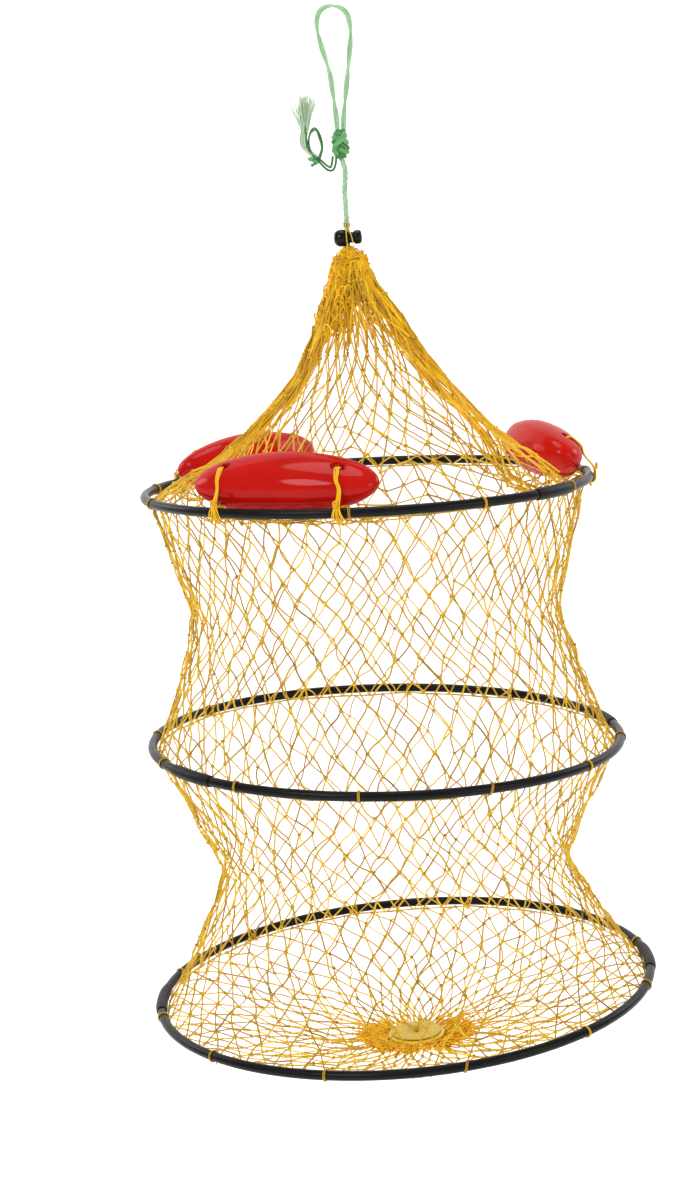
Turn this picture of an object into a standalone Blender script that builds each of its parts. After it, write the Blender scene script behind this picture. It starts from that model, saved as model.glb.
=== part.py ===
"""Folding crab trap: three nesting hoops, knotted netting, three floats, a cord lock and a hanging rope.

Metres, +Z up. The origin is the top inside of the rope loop, where a hook carries the trap. The hoops
hang below it, one above the other on the Z axis, and each one folds up inside the next.
An azimuth is measured in degrees from the front (-Y) towards the right (+X).
"""

import math

import bmesh
import bpy
from mathutils import Matrix, Vector

# ---------------------------------------------------------------- driving dimensions
GAP = 0.0003  # between touching neighbours

TOP_HOOP_Z = -0.358
HOOP_SPACING = 0.201
BASE_DEPTH = 0.048  # from the bottom hoop to the underside of the base disc

HOOP_TUBE_R = 0.00365
HOOP_BORE_R = 0.0021
CORE_WIRE_R = 0.0015
SLEEVE_R = 0.0047
HOOP_STATIONS = 48  # flat lengths in a whole hoop
STATION = 360 / HOOP_STATIONS
TUBE_SIDES = 8

# name, outside diameter, height, lean (degrees the right side hangs low), sleeve centres,
# number of wraps, azimuth of the first wrap
HOOPS = (
    ("top_hoop", 0.350, TOP_HOOP_Z, 1.6, (52.5, -127.5), 11, -70.0),
    ("middle_hoop", 0.375, TOP_HOOP_Z - HOOP_SPACING, 3.0, (-52.5, 105.0), 12, -67.0),
    ("bottom_hoop", 0.400, TOP_HOOP_Z - 2 * HOOP_SPACING, -0.9, (90.0, -90.0), 12, -78.5),
)

TWINE_R = 0.0008
WRAP_OFFSET = 0.00485  # centre of a wrap's twine from the centre of the hoop tube
WRAP_WIDTH = 0.0020
WRAP_THICKNESS = 0.0014
SELVAGE_OFFSET = 0.00555  # centre of the selvage line from the centre of the hoop tube

NET_THICKNESS = 0.0008
NET_INSET = 0.0085  # the net hangs this far inside the hoop tube's centre line
NET_STATIONS = 24
WAIST = {"upper": 0.142, "lower": 0.136}  # the bays' waist radii
# The mouth net's outline as (radius, height over the top hoop): where it hangs free, and where it
# passes inside and under a float
CONE_FREE = (
    (0.0135, 0.171), (0.0190, 0.157), (0.0270, 0.136), (0.0370, 0.113), (0.0480, 0.093),
    (0.0640, 0.073), (0.0840, 0.054), (0.1040, 0.038), (0.1240, 0.025), (0.1420, 0.0135),
    (0.1520, 0.0070), (0.1580, 0.0032), (0.1622, 0.0007),
)
CONE_UNDER_FLOAT = (
    (0.0135, 0.171), (0.0190, 0.157), (0.0270, 0.136), (0.0370, 0.113), (0.0480, 0.093),
    (0.0640, 0.071), (0.0830, 0.050), (0.0985, 0.030), (0.1070, 0.012), (0.1150, -0.0050),
    (0.1400, -0.0130), (0.1566, -0.0096), (0.1622, 0.0007),
)
MOUTH_Z = TOP_HOOP_Z + CONE_FREE[0][1]

# name, azimuth, the middle's distance from the Z axis, its height over the top hoop's centre line
FLOATS = (
    ("front_float", -24.3, 0.1412, 0.0181),
    ("right_float", 100.0, 0.1412, 0.0184),
    ("back_float", -134.6, 0.1345, 0.0142),
)
FLOAT_ROLL = 27.0  # degrees each float leans out over the hoop
FLOAT_HALF_LENGTH = 0.0723
FLOAT_HALF_WIDTH = 0.0246
FLOAT_HALF_HEIGHT = 0.0205
FLOAT_WALL = 0.0016
FLOAT_HOLE_U = 0.046  # each tie hole from the float's middle
FLOAT_HOLE_R = 0.0030
FLOAT_BOSS_R = 0.0046
FLOAT_TIE_R = 0.0010
FLOAT_SPAN = 31.0  # degrees each side of a float's middle where the net passes under it
FLOAT_CLEARANCE = 16.0  # degrees over which the net swings back out to its free outline

ROPE_R = 0.0021
TWINE_LOOP_R = 0.0006
LOCK_Z = -0.169
LOCK_BARREL_R = 0.0066
LOCK_LEFT = -0.0102
LOCK_MOUTH = 0.0042
LOCK_BORE_R = 0.0045
LOCK_STEM_R = 0.0042
LOCK_CAP_R = 0.0053
LOCK_TRAVEL = 0.0030
ROPE_HOLE_R = 0.0034

DISC_R = 0.0230
DISC_X = 0.006
DISC_THICKNESS = 0.0026
PLATE_R = 0.0185
PLATE_THICKNESS = 0.0014
DISC_HOLE_R = 0.0030

# the centre lines of the rope's three lengths
LOOP_ROUTE = (
    (-0.0010, 0.0, -0.0884), (-0.0013, 0.0002, -0.0767), (-0.0024, 0.0006, -0.0610),
    (-0.0039, 0.0008, -0.0448), (-0.0084, 0.0008, -0.0254), (-0.0105, 0.0004, -0.0114),
    (-0.0084, 0.0, -0.0022), (-0.0030, 0.0, 0.0019), (0.0036, 0.0, 0.0021), (0.0102, 0.0, -0.0010),
    (0.0136, 0.0004, -0.0070), (0.0144, 0.0008, -0.0177), (0.0133, 0.0010, -0.0272),
    (0.0108, 0.0008, -0.0420), (0.0080, 0.0006, -0.0580), (0.0049, 0.0002, -0.0767),
    (0.0036, 0.0, -0.0884),
)
LEAD_ROUTE = (
    (0.0004, 0.0, -0.1096), (0.0016, 0.0, -0.1140), (0.0023, 0.0, -0.1190), (0.0020, 0.0, -0.1250),
    (0.0010, 0.0, -0.1320), (0.0007, 0.0, -0.1400), (0.0006, 0.0, -0.1500), (0.0004, 0.0, -0.1590),
    (0.0, 0.0, -0.1660), (0.0, 0.0, -0.1758),
)
TAIL_ROUTE = (
    (-0.0048, 0.0012, -0.1076), (-0.0058, 0.0012, -0.1130), (-0.0078, 0.0010, -0.1168),
    (-0.0112, 0.0, -0.1156), (-0.0148, -0.0010, -0.1118), (-0.0186, -0.0016, -0.1080),
    (-0.0218, -0.0012, -0.1040), (-0.0242, -0.0004, -0.0990), (-0.0252, 0.0, -0.0930),
    (-0.0255, 0.0, -0.0860), (-0.0258, 0.0, -0.0790), (-0.0264, 0.0, -0.0700),
)
KNOT_CENTRE = (0.0004, 0.0, -0.0990)
KNOT_HALF = (0.0068, 0.0058, 0.0100)


# ---------------------------------------------------------------- materials
def make_material(name, colour, roughness, metallic=0.0):
    """One Principled BSDF with the sub-part's own colour and finish."""
    material = bpy.data.materials.new(name)
    material.use_nodes = True
    shader = material.node_tree.nodes["Principled BSDF"]
    shader.inputs["Base Color"].default_value = (*colour, 1.0)
    shader.inputs["Roughness"].default_value = roughness
    shader.inputs["Metallic"].default_value = metallic
    material.diffuse_color = (*colour, 1.0)
    return material


def make_materials():
    return {
        "hoop": make_material("hoop_plastic", (0.02, 0.02, 0.025), 0.35),
        "wire": make_material("core_steel", (0.55, 0.55, 0.56), 0.4, 1.0),
        "net": make_material("net_twine", (0.90, 0.55, 0.06), 0.55),
        "float": make_material("float_plastic", (0.72, 0.02, 0.015), 0.22),
        "rope": make_material("rope_fibre", (0.45, 0.75, 0.48), 0.6),
        "lock": make_material("lock_plastic", (0.01, 0.01, 0.012), 0.2),
        "spring": make_material("spring_steel", (0.6, 0.6, 0.6), 0.3, 1.0),
        "disc": make_material("disc_plastic", (0.80, 0.62, 0.10), 0.4),
        "plate": make_material("plate_plastic", (0.40, 0.34, 0.16), 0.45),
    }


# ---------------------------------------------------------------- mesh helpers
def on_ring(radius, azimuth, height=0.0):
    """A point at an azimuth from the front, on a ring round the Z axis."""
    angle = math.radians(azimuth)
    return Vector((radius * math.sin(angle), -radius * math.cos(angle), height))


def bridge(bm, rings, closed=False):
    """Quads from each ring of vertices to the next, and back to the first if closed."""
    pairs = list(zip(rings, rings[1:]))
    if closed:
        pairs.append((rings[-1], rings[0]))
    for low, high in pairs:
        count = len(low)
        for i in range(count):
            j = (i + 1) % count
            bm.faces.new((low[i], low[j], high[j], high[i]))


def add_ring(bm, points):
    return [bm.verts.new(point) for point in points]


def finish_object(name, bm, material, parent=None, smooth_angle=40):
    """Turns a bmesh into a named object whose faces point out."""
    bmesh.ops.recalc_face_normals(bm, faces=bm.faces)
    mesh = bpy.data.meshes.new(name)
    bm.to_mesh(mesh)
    bm.free()
    mesh.materials.append(material)
    mesh.shade_smooth()
    mesh.set_sharp_from_angle(angle=math.radians(smooth_angle))
    piece = bpy.data.objects.new(name, mesh)
    bpy.context.scene.collection.objects.link(piece)
    piece.parent = parent
    return piece


def add_empty(name, location, lean=0.0, turn=0.0, roll=0.0, parent=None):
    empty = bpy.data.objects.new(name, None)
    bpy.context.scene.collection.objects.link(empty)
    empty.parent = parent
    empty.location = location
    empty.rotation_euler = (math.radians(roll), math.radians(lean), math.radians(turn))
    return empty


def turned_points(radius, height, sides, start=0.0):
    """A circle of points round Z, for lathed pieces."""
    return [on_ring(radius, start + 360 * i / sides, height) for i in range(sides)]


def lathe(bm, outline, sides, centre=(0, 0, 0), closed=False):
    """Turns an outline of (radius, height) round Z. A radius of 0 closes an end with a point."""
    centre = Vector(centre)
    rings = []
    for radius, height in outline:
        if radius == 0:
            rings.append([bm.verts.new(centre + Vector((0, 0, height)))])
        else:
            rings.append(add_ring(bm, [centre + p for p in turned_points(radius, height, sides)]))
    pairs = list(zip(rings, rings[1:]))
    if closed:
        pairs.append((rings[-1], rings[0]))
    for low, high in pairs:
        for i in range(sides):
            j = (i + 1) % sides
            corners = [low[i % len(low)], low[j % len(low)], high[j % len(high)], high[i % len(high)]]
            bm.faces.new(list(dict.fromkeys(corners)))


def smooth_route(route, spacing, closed=False):
    """Points at an even spacing on a Catmull-Rom curve through the route."""
    points = [Vector(p) for p in route]
    if closed:
        points = [points[-1], *points, points[0], points[1]]
    else:
        points = [2 * points[0] - points[1], *points, 2 * points[-1] - points[-2]]
    dense = []
    for a, b, c, d in zip(points, points[1:], points[2:], points[3:]):
        for step in range(20):
            t = step / 20
            dense.append(0.5 * (2 * b + (c - a) * t + (2 * a - 5 * b + 4 * c - d) * t**2
                                + (3 * b - a - 3 * c + d) * t**3))
    dense.append(points[-2].copy())
    lengths = [0.0]
    for p, q in zip(dense, dense[1:]):
        lengths.append(lengths[-1] + (q - p).length)
    count = max(2, round(lengths[-1] / spacing))
    even, k = [], 0
    for i in range(count + 1):
        target = lengths[-1] * i / count
        while k < len(lengths) - 2 and lengths[k + 1] < target:
            k += 1
        share = (target - lengths[k]) / max(lengths[k + 1] - lengths[k], 1e-9)
        even.append(dense[k].lerp(dense[k + 1], min(share, 1.0)))
    return even[:-1] if closed else even


def add_cord(name, route, radius, material, resolution, closed=False, spacing=2.4, parent=None):
    """A cord as a curve object with a round bevel and filled caps."""
    curve = bpy.data.curves.new(name, "CURVE")
    curve.dimensions = "3D"
    curve.bevel_depth = radius
    curve.bevel_resolution = resolution
    curve.use_fill_caps = True
    points = smooth_route(route, spacing * 2 * radius, closed)
    spline = curve.splines.new("POLY")
    spline.points.add(len(points) - 1)
    for target, point in zip(spline.points, points):
        target.co = (*point, 1.0)
    spline.use_cyclic_u = closed
    curve.materials.append(material)
    piece = bpy.data.objects.new(name, curve)
    bpy.context.scene.collection.objects.link(piece)
    piece.parent = parent
    return piece


def hide_cutter(cutter):
    cutter.hide_render = True
    cutter.display_type = "WIRE"


def cut(piece, operation, cutter):
    """Cuts or joins one mesh with another, and keeps the result as plain faces."""
    hide_cutter(cutter)
    modifier = piece.modifiers.new(operation.lower(), "BOOLEAN")
    modifier.operation = operation
    modifier.solver = "EXACT"
    modifier.object = cutter


# ---------------------------------------------------------------- hoops
def hoop_radius(hoop):
    return hoop[1] / 2 - HOOP_TUBE_R


def arc_stations(start, end):
    """The hoop's flats between two azimuths: both ends, and every station between them."""
    inner = [k * STATION for k in range(math.ceil(start / STATION), math.floor(end / STATION) + 1)]
    return [start] + [a for a in inner if start + 0.1 < a < end - 0.1] + [end]


def section(ring_radius, tube_radius, azimuth, sides):
    """A tube's cross-section, in the upright plane through the hoop's axis."""
    points = []
    for i in range(sides):
        angle = 2 * math.pi * (i + 0.5) / sides
        points.append(on_ring(ring_radius + tube_radius * math.cos(angle), azimuth,
                              tube_radius * math.sin(angle)))
    return points


def add_bent_tube(name, ring_radius, outer, bore, azimuths, material, parent):
    """A length of hollow tube bent round the hoop, with flat annular ends."""
    bm = bmesh.new()
    walls = [[add_ring(bm, section(ring_radius, r, a, TUBE_SIDES)) for a in azimuths] for r in (outer, bore)]
    for wall in walls:
        bridge(bm, wall)
    for end in (0, -1):
        bridge(bm, [walls[0][end], walls[1][end]])
    return finish_object(name, bm, material, parent)


def add_core_wire(name, ring_radius, material, parent):
    bm = bmesh.new()
    rings = [add_ring(bm, section(ring_radius, CORE_WIRE_R, k * STATION, 6)) for k in range(HOOP_STATIONS)]
    bridge(bm, rings, closed=True)
    return finish_object(name, bm, material, parent)


def add_hoop(hoop, materials, axis):
    """Two half tubes that meet inside two sleeves, over one closed core wire."""
    name, _, _, _, sleeves, _, _ = hoop
    ring_radius = hoop_radius(hoop)
    butt = math.degrees(GAP / 2 / ring_radius)
    first, second = sorted(sleeves)
    halves = (("right_tube", first, second), ("left_tube", second, first + 360))
    for half, start, end in halves:
        add_bent_tube(f"{name}_{half}", ring_radius, HOOP_TUBE_R, HOOP_BORE_R,
                      arc_stations(start + butt, end - butt), materials["hoop"], axis)
    for number, centre in enumerate(sleeves, 1):
        add_bent_tube(f"{name}_sleeve_{number}", ring_radius, SLEEVE_R, HOOP_TUBE_R + GAP,
                      [centre - STATION, centre, centre + STATION], materials["hoop"], axis)
    add_core_wire(f"{name}_core_wire", ring_radius, materials["wire"], axis)


# ---------------------------------------------------------------- lacing
def float_tie_azimuths():
    offset = math.degrees(math.asin(FLOAT_HOLE_U / hoop_radius(HOOPS[0])))
    return [float_[1] + side * offset for float_ in FLOATS for side in (-1, 1)]


def turn_between(a, b):
    return abs((a - b + 180) % 360 - 180)


def wrap_azimuths(hoop):
    """Even steps round the hoop, leaving out a place that a float's lashing already takes."""
    count, first = hoop[5], hoop[6]
    evenly = [first + 360 * k / count for k in range(count)]
    taken = float_tie_azimuths() if hoop[0] == "top_hoop" else []
    return [a for a in evenly if all(turn_between(a, t) > 3 for t in taken)]


def add_wrap(bm, ring_radius, azimuth):
    """A double turn of twine round the hoop tube, as one flat closed band."""
    along = on_ring(1, azimuth + 90)
    rings = []
    for i in range(TUBE_SIDES):
        angle = 2 * math.pi * (i + 0.5) / TUBE_SIDES
        corners = []
        for across, away in ((-1, -1), (1, -1), (1, 1), (-1, 1)):
            reach = WRAP_OFFSET + away * WRAP_THICKNESS / 2
            point = on_ring(ring_radius + reach * math.cos(angle), azimuth, reach * math.sin(angle))
            corners.append(point + along * across * WRAP_WIDTH / 2)
        rings.append(add_ring(bm, corners))
    bridge(bm, rings, closed=True)


def add_lacing(hoop, material, axis):
    """The selvage line under the hoop, joined to every wrap that holds it."""
    name, ring_radius = hoop[0], hoop_radius(hoop)
    angle = math.radians(-135)
    line_radius = ring_radius + SELVAGE_OFFSET * math.cos(angle)
    bm = bmesh.new()
    rings = []
    for k in range(HOOP_STATIONS):
        ring = section(line_radius, TWINE_R, k * STATION, 4)
        rings.append(add_ring(bm, [p + Vector((0, 0, SELVAGE_OFFSET * math.sin(angle))) for p in ring]))
    bridge(bm, rings, closed=True)
    lacing = finish_object(f"{name}_lacing", bm, material, axis)
    bm = bmesh.new()
    for azimuth in wrap_azimuths(hoop):
        add_wrap(bm, ring_radius, azimuth)
    wraps = finish_object(f"{name}_wraps", bm, material, axis)
    cut(lacing, "UNION", wraps)


# ---------------------------------------------------------------- netting
def lean_slope(hoop):
    return -math.tan(math.radians(hoop[3]))


def net_shell(name, outline_at, material):
    """A thin closed wall round Z. The outline at an azimuth is (radius, height, slope to the right)s."""
    half = NET_THICKNESS / 2
    azimuths = [360 * i / NET_STATIONS for i in range(NET_STATIONS)]
    outlines = [outline_at(azimuth) for azimuth in azimuths]
    bm = bmesh.new()
    walls = []
    for side in (-1, 1):
        rings = []
        for k in range(len(outlines[0])):
            points = []
            for azimuth, outline in zip(azimuths, outlines):
                before, after = outline[max(k - 1, 0)], outline[min(k + 1, len(outline) - 1)]
                run = Vector((after[0] - before[0], after[1] - before[1])).normalized()
                radius, height, slope = outline[k]
                point = on_ring(radius + side * half * run.y, azimuth, height - side * half * run.x)
                point.z += slope * point.x
                points.append(point)
            rings.append(add_ring(bm, points))
        bridge(bm, rings)
        walls.append(rings)
    for end in (0, -1):
        bridge(bm, [walls[0][end], walls[1][end]])
    return finish_object(name, bm, material, smooth_angle=60)


def bay_profile(above, below, waist):
    """From the hoop above, in to the waist half-way down, and out to the hoop below."""
    top = (hoop_radius(above) - NET_INSET, above[2] - GAP, lean_slope(above))
    end = (hoop_radius(below) - NET_INSET, below[2] + GAP, lean_slope(below))
    profile = []
    steps = ((0.0, 0.0), (0.2, 0.3), (0.38, 0.7), (0.5, 1.0), (0.62, 0.7), (0.8, 0.3), (1.0, 0.0))
    for share, narrowing in steps:
        straight = top[0] + (end[0] - top[0]) * share
        height = top[1] + (end[1] - top[1]) * share
        slope = top[2] + (end[2] - top[2]) * share
        profile.append((straight + (waist - straight) * narrowing, height, slope))
    return profile


def cone_outline(azimuth):
    """The mouth net's outline, drawn in under each float."""
    nearest = min(turn_between(azimuth, float_[1]) for float_ in FLOATS)
    free = min(1.0, max(0.0, (nearest - FLOAT_SPAN) / FLOAT_CLEARANCE))
    slope, rise = lean_slope(HOOPS[0]), CONE_FREE[0][1]
    outline = []
    for (r1, z1), (r2, z2) in zip(CONE_UNDER_FLOAT, CONE_FREE):
        height = z1 + (z2 - z1) * free
        outline.append((r1 + (r2 - r1) * free, TOP_HOOP_Z + height, slope * (1 - height / rise)))
    return outline


def add_nets(material):
    top, middle, bottom = HOOPS
    net_shell("mouth_net", cone_outline, material)
    upper = bay_profile(top, middle, WAIST["upper"])
    lower = bay_profile(middle, bottom, WAIST["lower"])
    net_shell("upper_net", lambda azimuth: upper, material)
    net_shell("lower_net", lambda azimuth: lower, material)
    rim = hoop_radius(bottom) - NET_INSET
    floor = bottom[2] - BASE_DEPTH + DISC_THICKNESS / 2
    base = []
    for share, drop in ((0.0, 0.0), (0.25, 0.42), (0.5, 0.7), (0.75, 0.9), (1.0, 1.0)):
        radius = rim + (DISC_R + 0.0015 - rim) * share
        height = bottom[2] - GAP + (floor - bottom[2]) * drop
        base.append((radius, height, lean_slope(bottom) * (1 - share)))
    net = net_shell("base_net", lambda azimuth: base, material)
    shift_centre(net, rim)


def shift_centre(net, rim):
    """Draws the base net's middle over to the disc, which hangs a little to the right."""
    for vertex in net.data.vertices:
        share = 1 - math.hypot(vertex.co.x, vertex.co.y) / rim
        vertex.co.x += DISC_X * min(1.0, max(0.0, share) / (1 - (DISC_R + 0.0015) / rim))


# ---------------------------------------------------------------- floats
def float_width(u):
    return FLOAT_HALF_WIDTH * (1 - abs(u / FLOAT_HALF_LENGTH) ** 2.0) ** (1 / 2.2)


def float_height(u):
    return FLOAT_HALF_HEIGHT * (1 - abs(u / FLOAT_HALF_LENGTH) ** 1.7) ** (1 / 2.0)


def half_float_points(u, shrink, side, count):
    """Half a cross-section, from one seam edge over the crown (or under the keel) to the other."""
    width = max(float_width(u) - shrink, 0.0004)
    height = max(float_height(u) - shrink, 0.0004)
    points = []
    for i in range(count + 1):
        angle = math.pi * i / count
        across = math.copysign(abs(math.cos(angle)) ** (2 / 2.4), math.cos(angle))
        points.append((u, width * across, side * height * math.sin(angle) ** (2 / 2.4)))
    return points


def solid_half(name, shrink, side, reach, material, axis, sink=0.0):
    """A solid half of the float's outline, flat at the seam. The two ends close in small faces."""
    stations = [math.sin(math.pi / 2 * (k / 6)) * reach for k in range(-6, 7)]
    bm = bmesh.new()
    rings = []
    for u in stations:
        points = half_float_points(u, shrink, side, 8)
        points += [(u, points[0][1] * t, -side * sink) for t in (-1, 1)] if sink else []
        rings.append(add_ring(bm, [Vector(p) for p in points]))
    bridge(bm, rings)
    for end in (rings[0], rings[-1]):
        bm.faces.new(end)
    return finish_object(name, bm, material, axis)


def add_cylinder(name, centre, radius, low, high, sides, axis, material):
    bm = bmesh.new()
    lathe(bm, ((0, low), (radius, low), (radius, high), (0, high)), sides, centre)
    return finish_object(name, bm, material, axis)


def add_float_shell(name, side, material, axis):
    """One moulded half: a hollow shell with a tube boss round each tie hole."""
    reach = FLOAT_HALF_LENGTH * 0.9985
    shell = solid_half(name, 0.0, side, reach, material, axis)
    hollow = solid_half(f"{name}_hollow", FLOAT_WALL, side, reach - FLOAT_WALL, material, axis, 0.004)
    cut(shell, "DIFFERENCE", hollow)
    crown = FLOAT_HALF_HEIGHT + 0.001
    for end in (-1, 1):
        centre = (end * FLOAT_HOLE_U, 0, 0)
        depth = float_height(FLOAT_HOLE_U) - FLOAT_WALL / 2
        low, high = sorted((0.0, side * depth))
        boss = add_cylinder(f"{name}_boss_{end}", centre, FLOAT_BOSS_R, low, high, 10, axis, material)
        cut(shell, "UNION", boss)
    for end in (-1, 1):
        centre = (end * FLOAT_HOLE_U, 0, 0)
        hole = add_cylinder(f"{name}_hole_{end}", centre, FLOAT_HOLE_R, -crown, crown, 10, axis, material)
        cut(shell, "DIFFERENCE", hole)
    return shell


def add_floats(materials, top_axis):
    """Three loaf-shaped floats, each lying inside the top hoop and lashed to it at both ends."""
    for name, azimuth, radius, height in FLOATS:
        middle = on_ring(radius, azimuth, height)
        place = add_empty(f"{name}_place", middle, turn=azimuth, roll=FLOAT_ROLL, parent=top_axis)
        for half, side in (("upper_shell", 1), ("lower_shell", -1)):
            axis = add_empty(f"{name}_{half}_place", (0, 0, side * GAP / 2), parent=place)
            add_float_shell(f"{name}_{half}", side, materials["float"], axis)
        for number, end in ((1, -1), (2, 1)):
            along = on_ring(end * FLOAT_HOLE_U, azimuth + 90)
            route = [on_ring(out, azimuth, up) + along for out, up in tie_path(radius, height)]
            add_tie(f"{name}_tie_{number}", route, materials["net"], top_axis)


def add_tie(name, route, material, top_axis):
    add_cord(name, route, FLOAT_TIE_R, material, 1, closed=True, spacing=2.2, parent=top_axis)


def tie_path(radius, height):
    """A closed lashing: up through the float's hole, over its outer side and round the hoop tube.

    Each point is (distance from the Z axis, height over the hoop) in the plane across the float
    that its hole lies in.
    """
    lean = math.radians(FLOAT_ROLL)
    level = float_height(FLOAT_HOLE_U)
    tube = math.sqrt(hoop_radius(HOOPS[0]) ** 2 - FLOAT_HOLE_U**2)
    over_float = (
        (0, -0.0080), (0, 0.0030), (0, level - 0.0020), (0.0016, level + 0.0013), (0.0080, level + 0.0009),
        (0.0152, 0.0128), (0.0202, 0.0072),
    )
    round_hoop = (
        (0.0044, 0.0066), (0.0057, 0.0014), (0.0044, -0.0046), (-0.0008, -0.0075), (-0.0054, -0.0071),
        (-0.0070, -0.0034), (-0.0058, -0.0008), (-0.0062, 0.0018), (-0.0090, 0.0041),
    )
    under_float = (
        (0.0193, -0.0068), (0.0166, -0.0112), (0.0118, -0.0153), (0.0062, -0.0174), (0.0016, -level - 0.0014),
        (0, -level + 0.0016),
    )

    def by_float(point):
        out, up = point
        across = out * math.cos(lean) + up * math.sin(lean)
        return radius + across, height - out * math.sin(lean) + up * math.cos(lean)

    path = [by_float(point) for point in over_float]
    path += [(tube + out, up) for out, up in round_hoop]
    path += [by_float(point) for point in under_float]
    return path


# ---------------------------------------------------------------- rope, mouth and cord lock
def add_rope(material):
    add_cord("rope_loop", LOOP_ROUTE, ROPE_R, material, 2)
    add_cord("rope_lead", LEAD_ROUTE, ROPE_R, material, 2)
    add_cord("rope_tail", TAIL_ROUTE, ROPE_R * 0.8, material, 2)
    bm = bmesh.new()
    turns = [math.radians(angle) for angle in (-60, -30, 0, 30, 60)]
    lathe(bm, [(0, -1)] + [(math.cos(turn), math.sin(turn)) for turn in turns] + [(0, 1)], 12)
    for vertex in bm.verts:
        scaled = [c * h for c, h in zip(vertex.co, KNOT_HALF)]
        vertex.co = Vector(scaled) + Vector(KNOT_CENTRE)
    finish_object("rope_knot", bm, material, smooth_angle=80)


def add_mouth(materials):
    """The bunched meshes under the lock, the drawstring round them and the twine over the lock."""
    bm = bmesh.new()
    top = LOCK_Z - LOCK_BARREL_R - 2 * GAP
    outline = ((0, top), (0.0035, top), (0.0062, top - 0.004), (0.0095, top - 0.009), (0.0108, top - 0.016),
               (0.0095, top - 0.026), (0.0050, top - 0.034), (0, top - 0.036))
    lathe(bm, outline, 12)
    finish_object("mouth_gather", bm, materials["net"], smooth_angle=80)
    ring = [on_ring(0.0124, a, MOUTH_Z + 0.0030) for a in range(0, 360, 30)]
    add_cord("mouth_drawstring", ring, 0.0009, materials["net"], 1, closed=True, spacing=2.2)
    front = LOCK_BARREL_R + 0.0015
    over = (
        (0.0, -ROPE_R - 0.0010, LOCK_Z + LOCK_BARREL_R + 0.0030), (0.0004, -0.0048, LOCK_Z + 0.0078),
        (0.0008, -front, LOCK_Z + 0.0030), (0.0012, -front - 0.0002, LOCK_Z - 0.0020),
        (0.0016, -front - 0.0002, LOCK_Z - 0.0070), (0.0020, -front - 0.0008, LOCK_Z - 0.0100),
    )
    add_cord("lock_tie_twine", over, TWINE_LOOP_R, materials["net"], 1, spacing=2.4)


def turned_along_x(name, outline, sides, material, axis):
    """A lathed piece lying along X. The outline is (radius, x)."""
    bm = bmesh.new()
    lathe(bm, outline, sides)
    turn = Matrix.Rotation(math.radians(90), 4, "Y")
    bmesh.ops.transform(bm, matrix=turn, verts=bm.verts)
    return finish_object(name, bm, material, axis)


def add_cord_lock(materials):
    """A ball-ended barrel on the rope, a plunger in its bore and the spring behind the plunger."""
    axis = add_empty("cord_lock_axis", (0, 0, LOCK_Z))
    plunger_axis = add_empty("lock_plunger_axis", (0, 0, 0), parent=axis)
    bore_end = LOCK_LEFT + 0.0016
    middle = (LOCK_LEFT + LOCK_MOUTH) / 2
    half = (LOCK_MOUTH - LOCK_LEFT) / 2
    outline = [(0, LOCK_LEFT)]
    for angle in (-70, -50, -25, 0, 25, 48):
        turn = math.radians(angle)
        x = middle + half * math.sin(turn) / math.sin(math.radians(80))
        outline.append((LOCK_BARREL_R * math.cos(turn) ** 0.55, x))
    outline += [(LOCK_BORE_R + 0.0007, LOCK_MOUTH), (LOCK_BORE_R, LOCK_MOUTH)]
    outline += [(LOCK_BORE_R, bore_end), (0, bore_end)]
    barrel = turned_along_x("lock_barrel", outline, 16, materials["lock"], axis)
    centre = (0, 0, 0)
    black = materials["lock"]
    rope_hole = add_cylinder("lock_rope_hole", centre, ROPE_HOLE_R, -0.009, 0.009, 12, axis, black)
    cut(barrel, "DIFFERENCE", rope_hole)

    stem_end, cap_start, cap_end = -0.0033, 0.0075, 0.0112
    stem = (
        (0, stem_end), (LOCK_STEM_R, stem_end), (LOCK_STEM_R, cap_start), (LOCK_CAP_R, cap_start + 0.0003),
        (LOCK_CAP_R, cap_end - 0.0012), (LOCK_CAP_R * 0.72, cap_end - 0.0003), (0, cap_end),
    )
    plunger = turned_along_x("lock_plunger", stem, 16, materials["lock"], plunger_axis)
    slot = add_slot("lock_rope_slot", ROPE_HOLE_R, LOCK_TRAVEL, plunger_axis, materials["lock"])
    cut(plunger, "DIFFERENCE", slot)

    turns, start, end = 3.5, bore_end + 0.00045, stem_end - 0.00045
    route = []
    for k in range(int(turns * 8) + 1):
        angle = 2 * math.pi * k / 8
        x = start + (end - start) * k / (turns * 8)
        route.append((x, 0.0030 * math.cos(angle), 0.0030 * math.sin(angle)))
    add_cord("lock_spring", route, 0.00028, materials["spring"], 1, spacing=3.6, parent=axis)


def add_slot(name, radius, travel, axis, material):
    """An upright slot with round ends: the rope keeps its place while the plunger moves."""
    bm = bmesh.new()
    rings = []
    for height in (-0.009, 0.009):
        points = []
        for k in range(16):
            angle = 2 * math.pi * (k + 0.5) / 16
            shift = travel if math.cos(angle) > 0 else 0.0
            points.append(Vector((shift + radius * math.cos(angle), radius * math.sin(angle), height)))
        rings.append(add_ring(bm, points))
    bridge(bm, rings)
    for ring in rings:
        bm.faces.new(ring)
    return finish_object(name, bm, material, axis)


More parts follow.
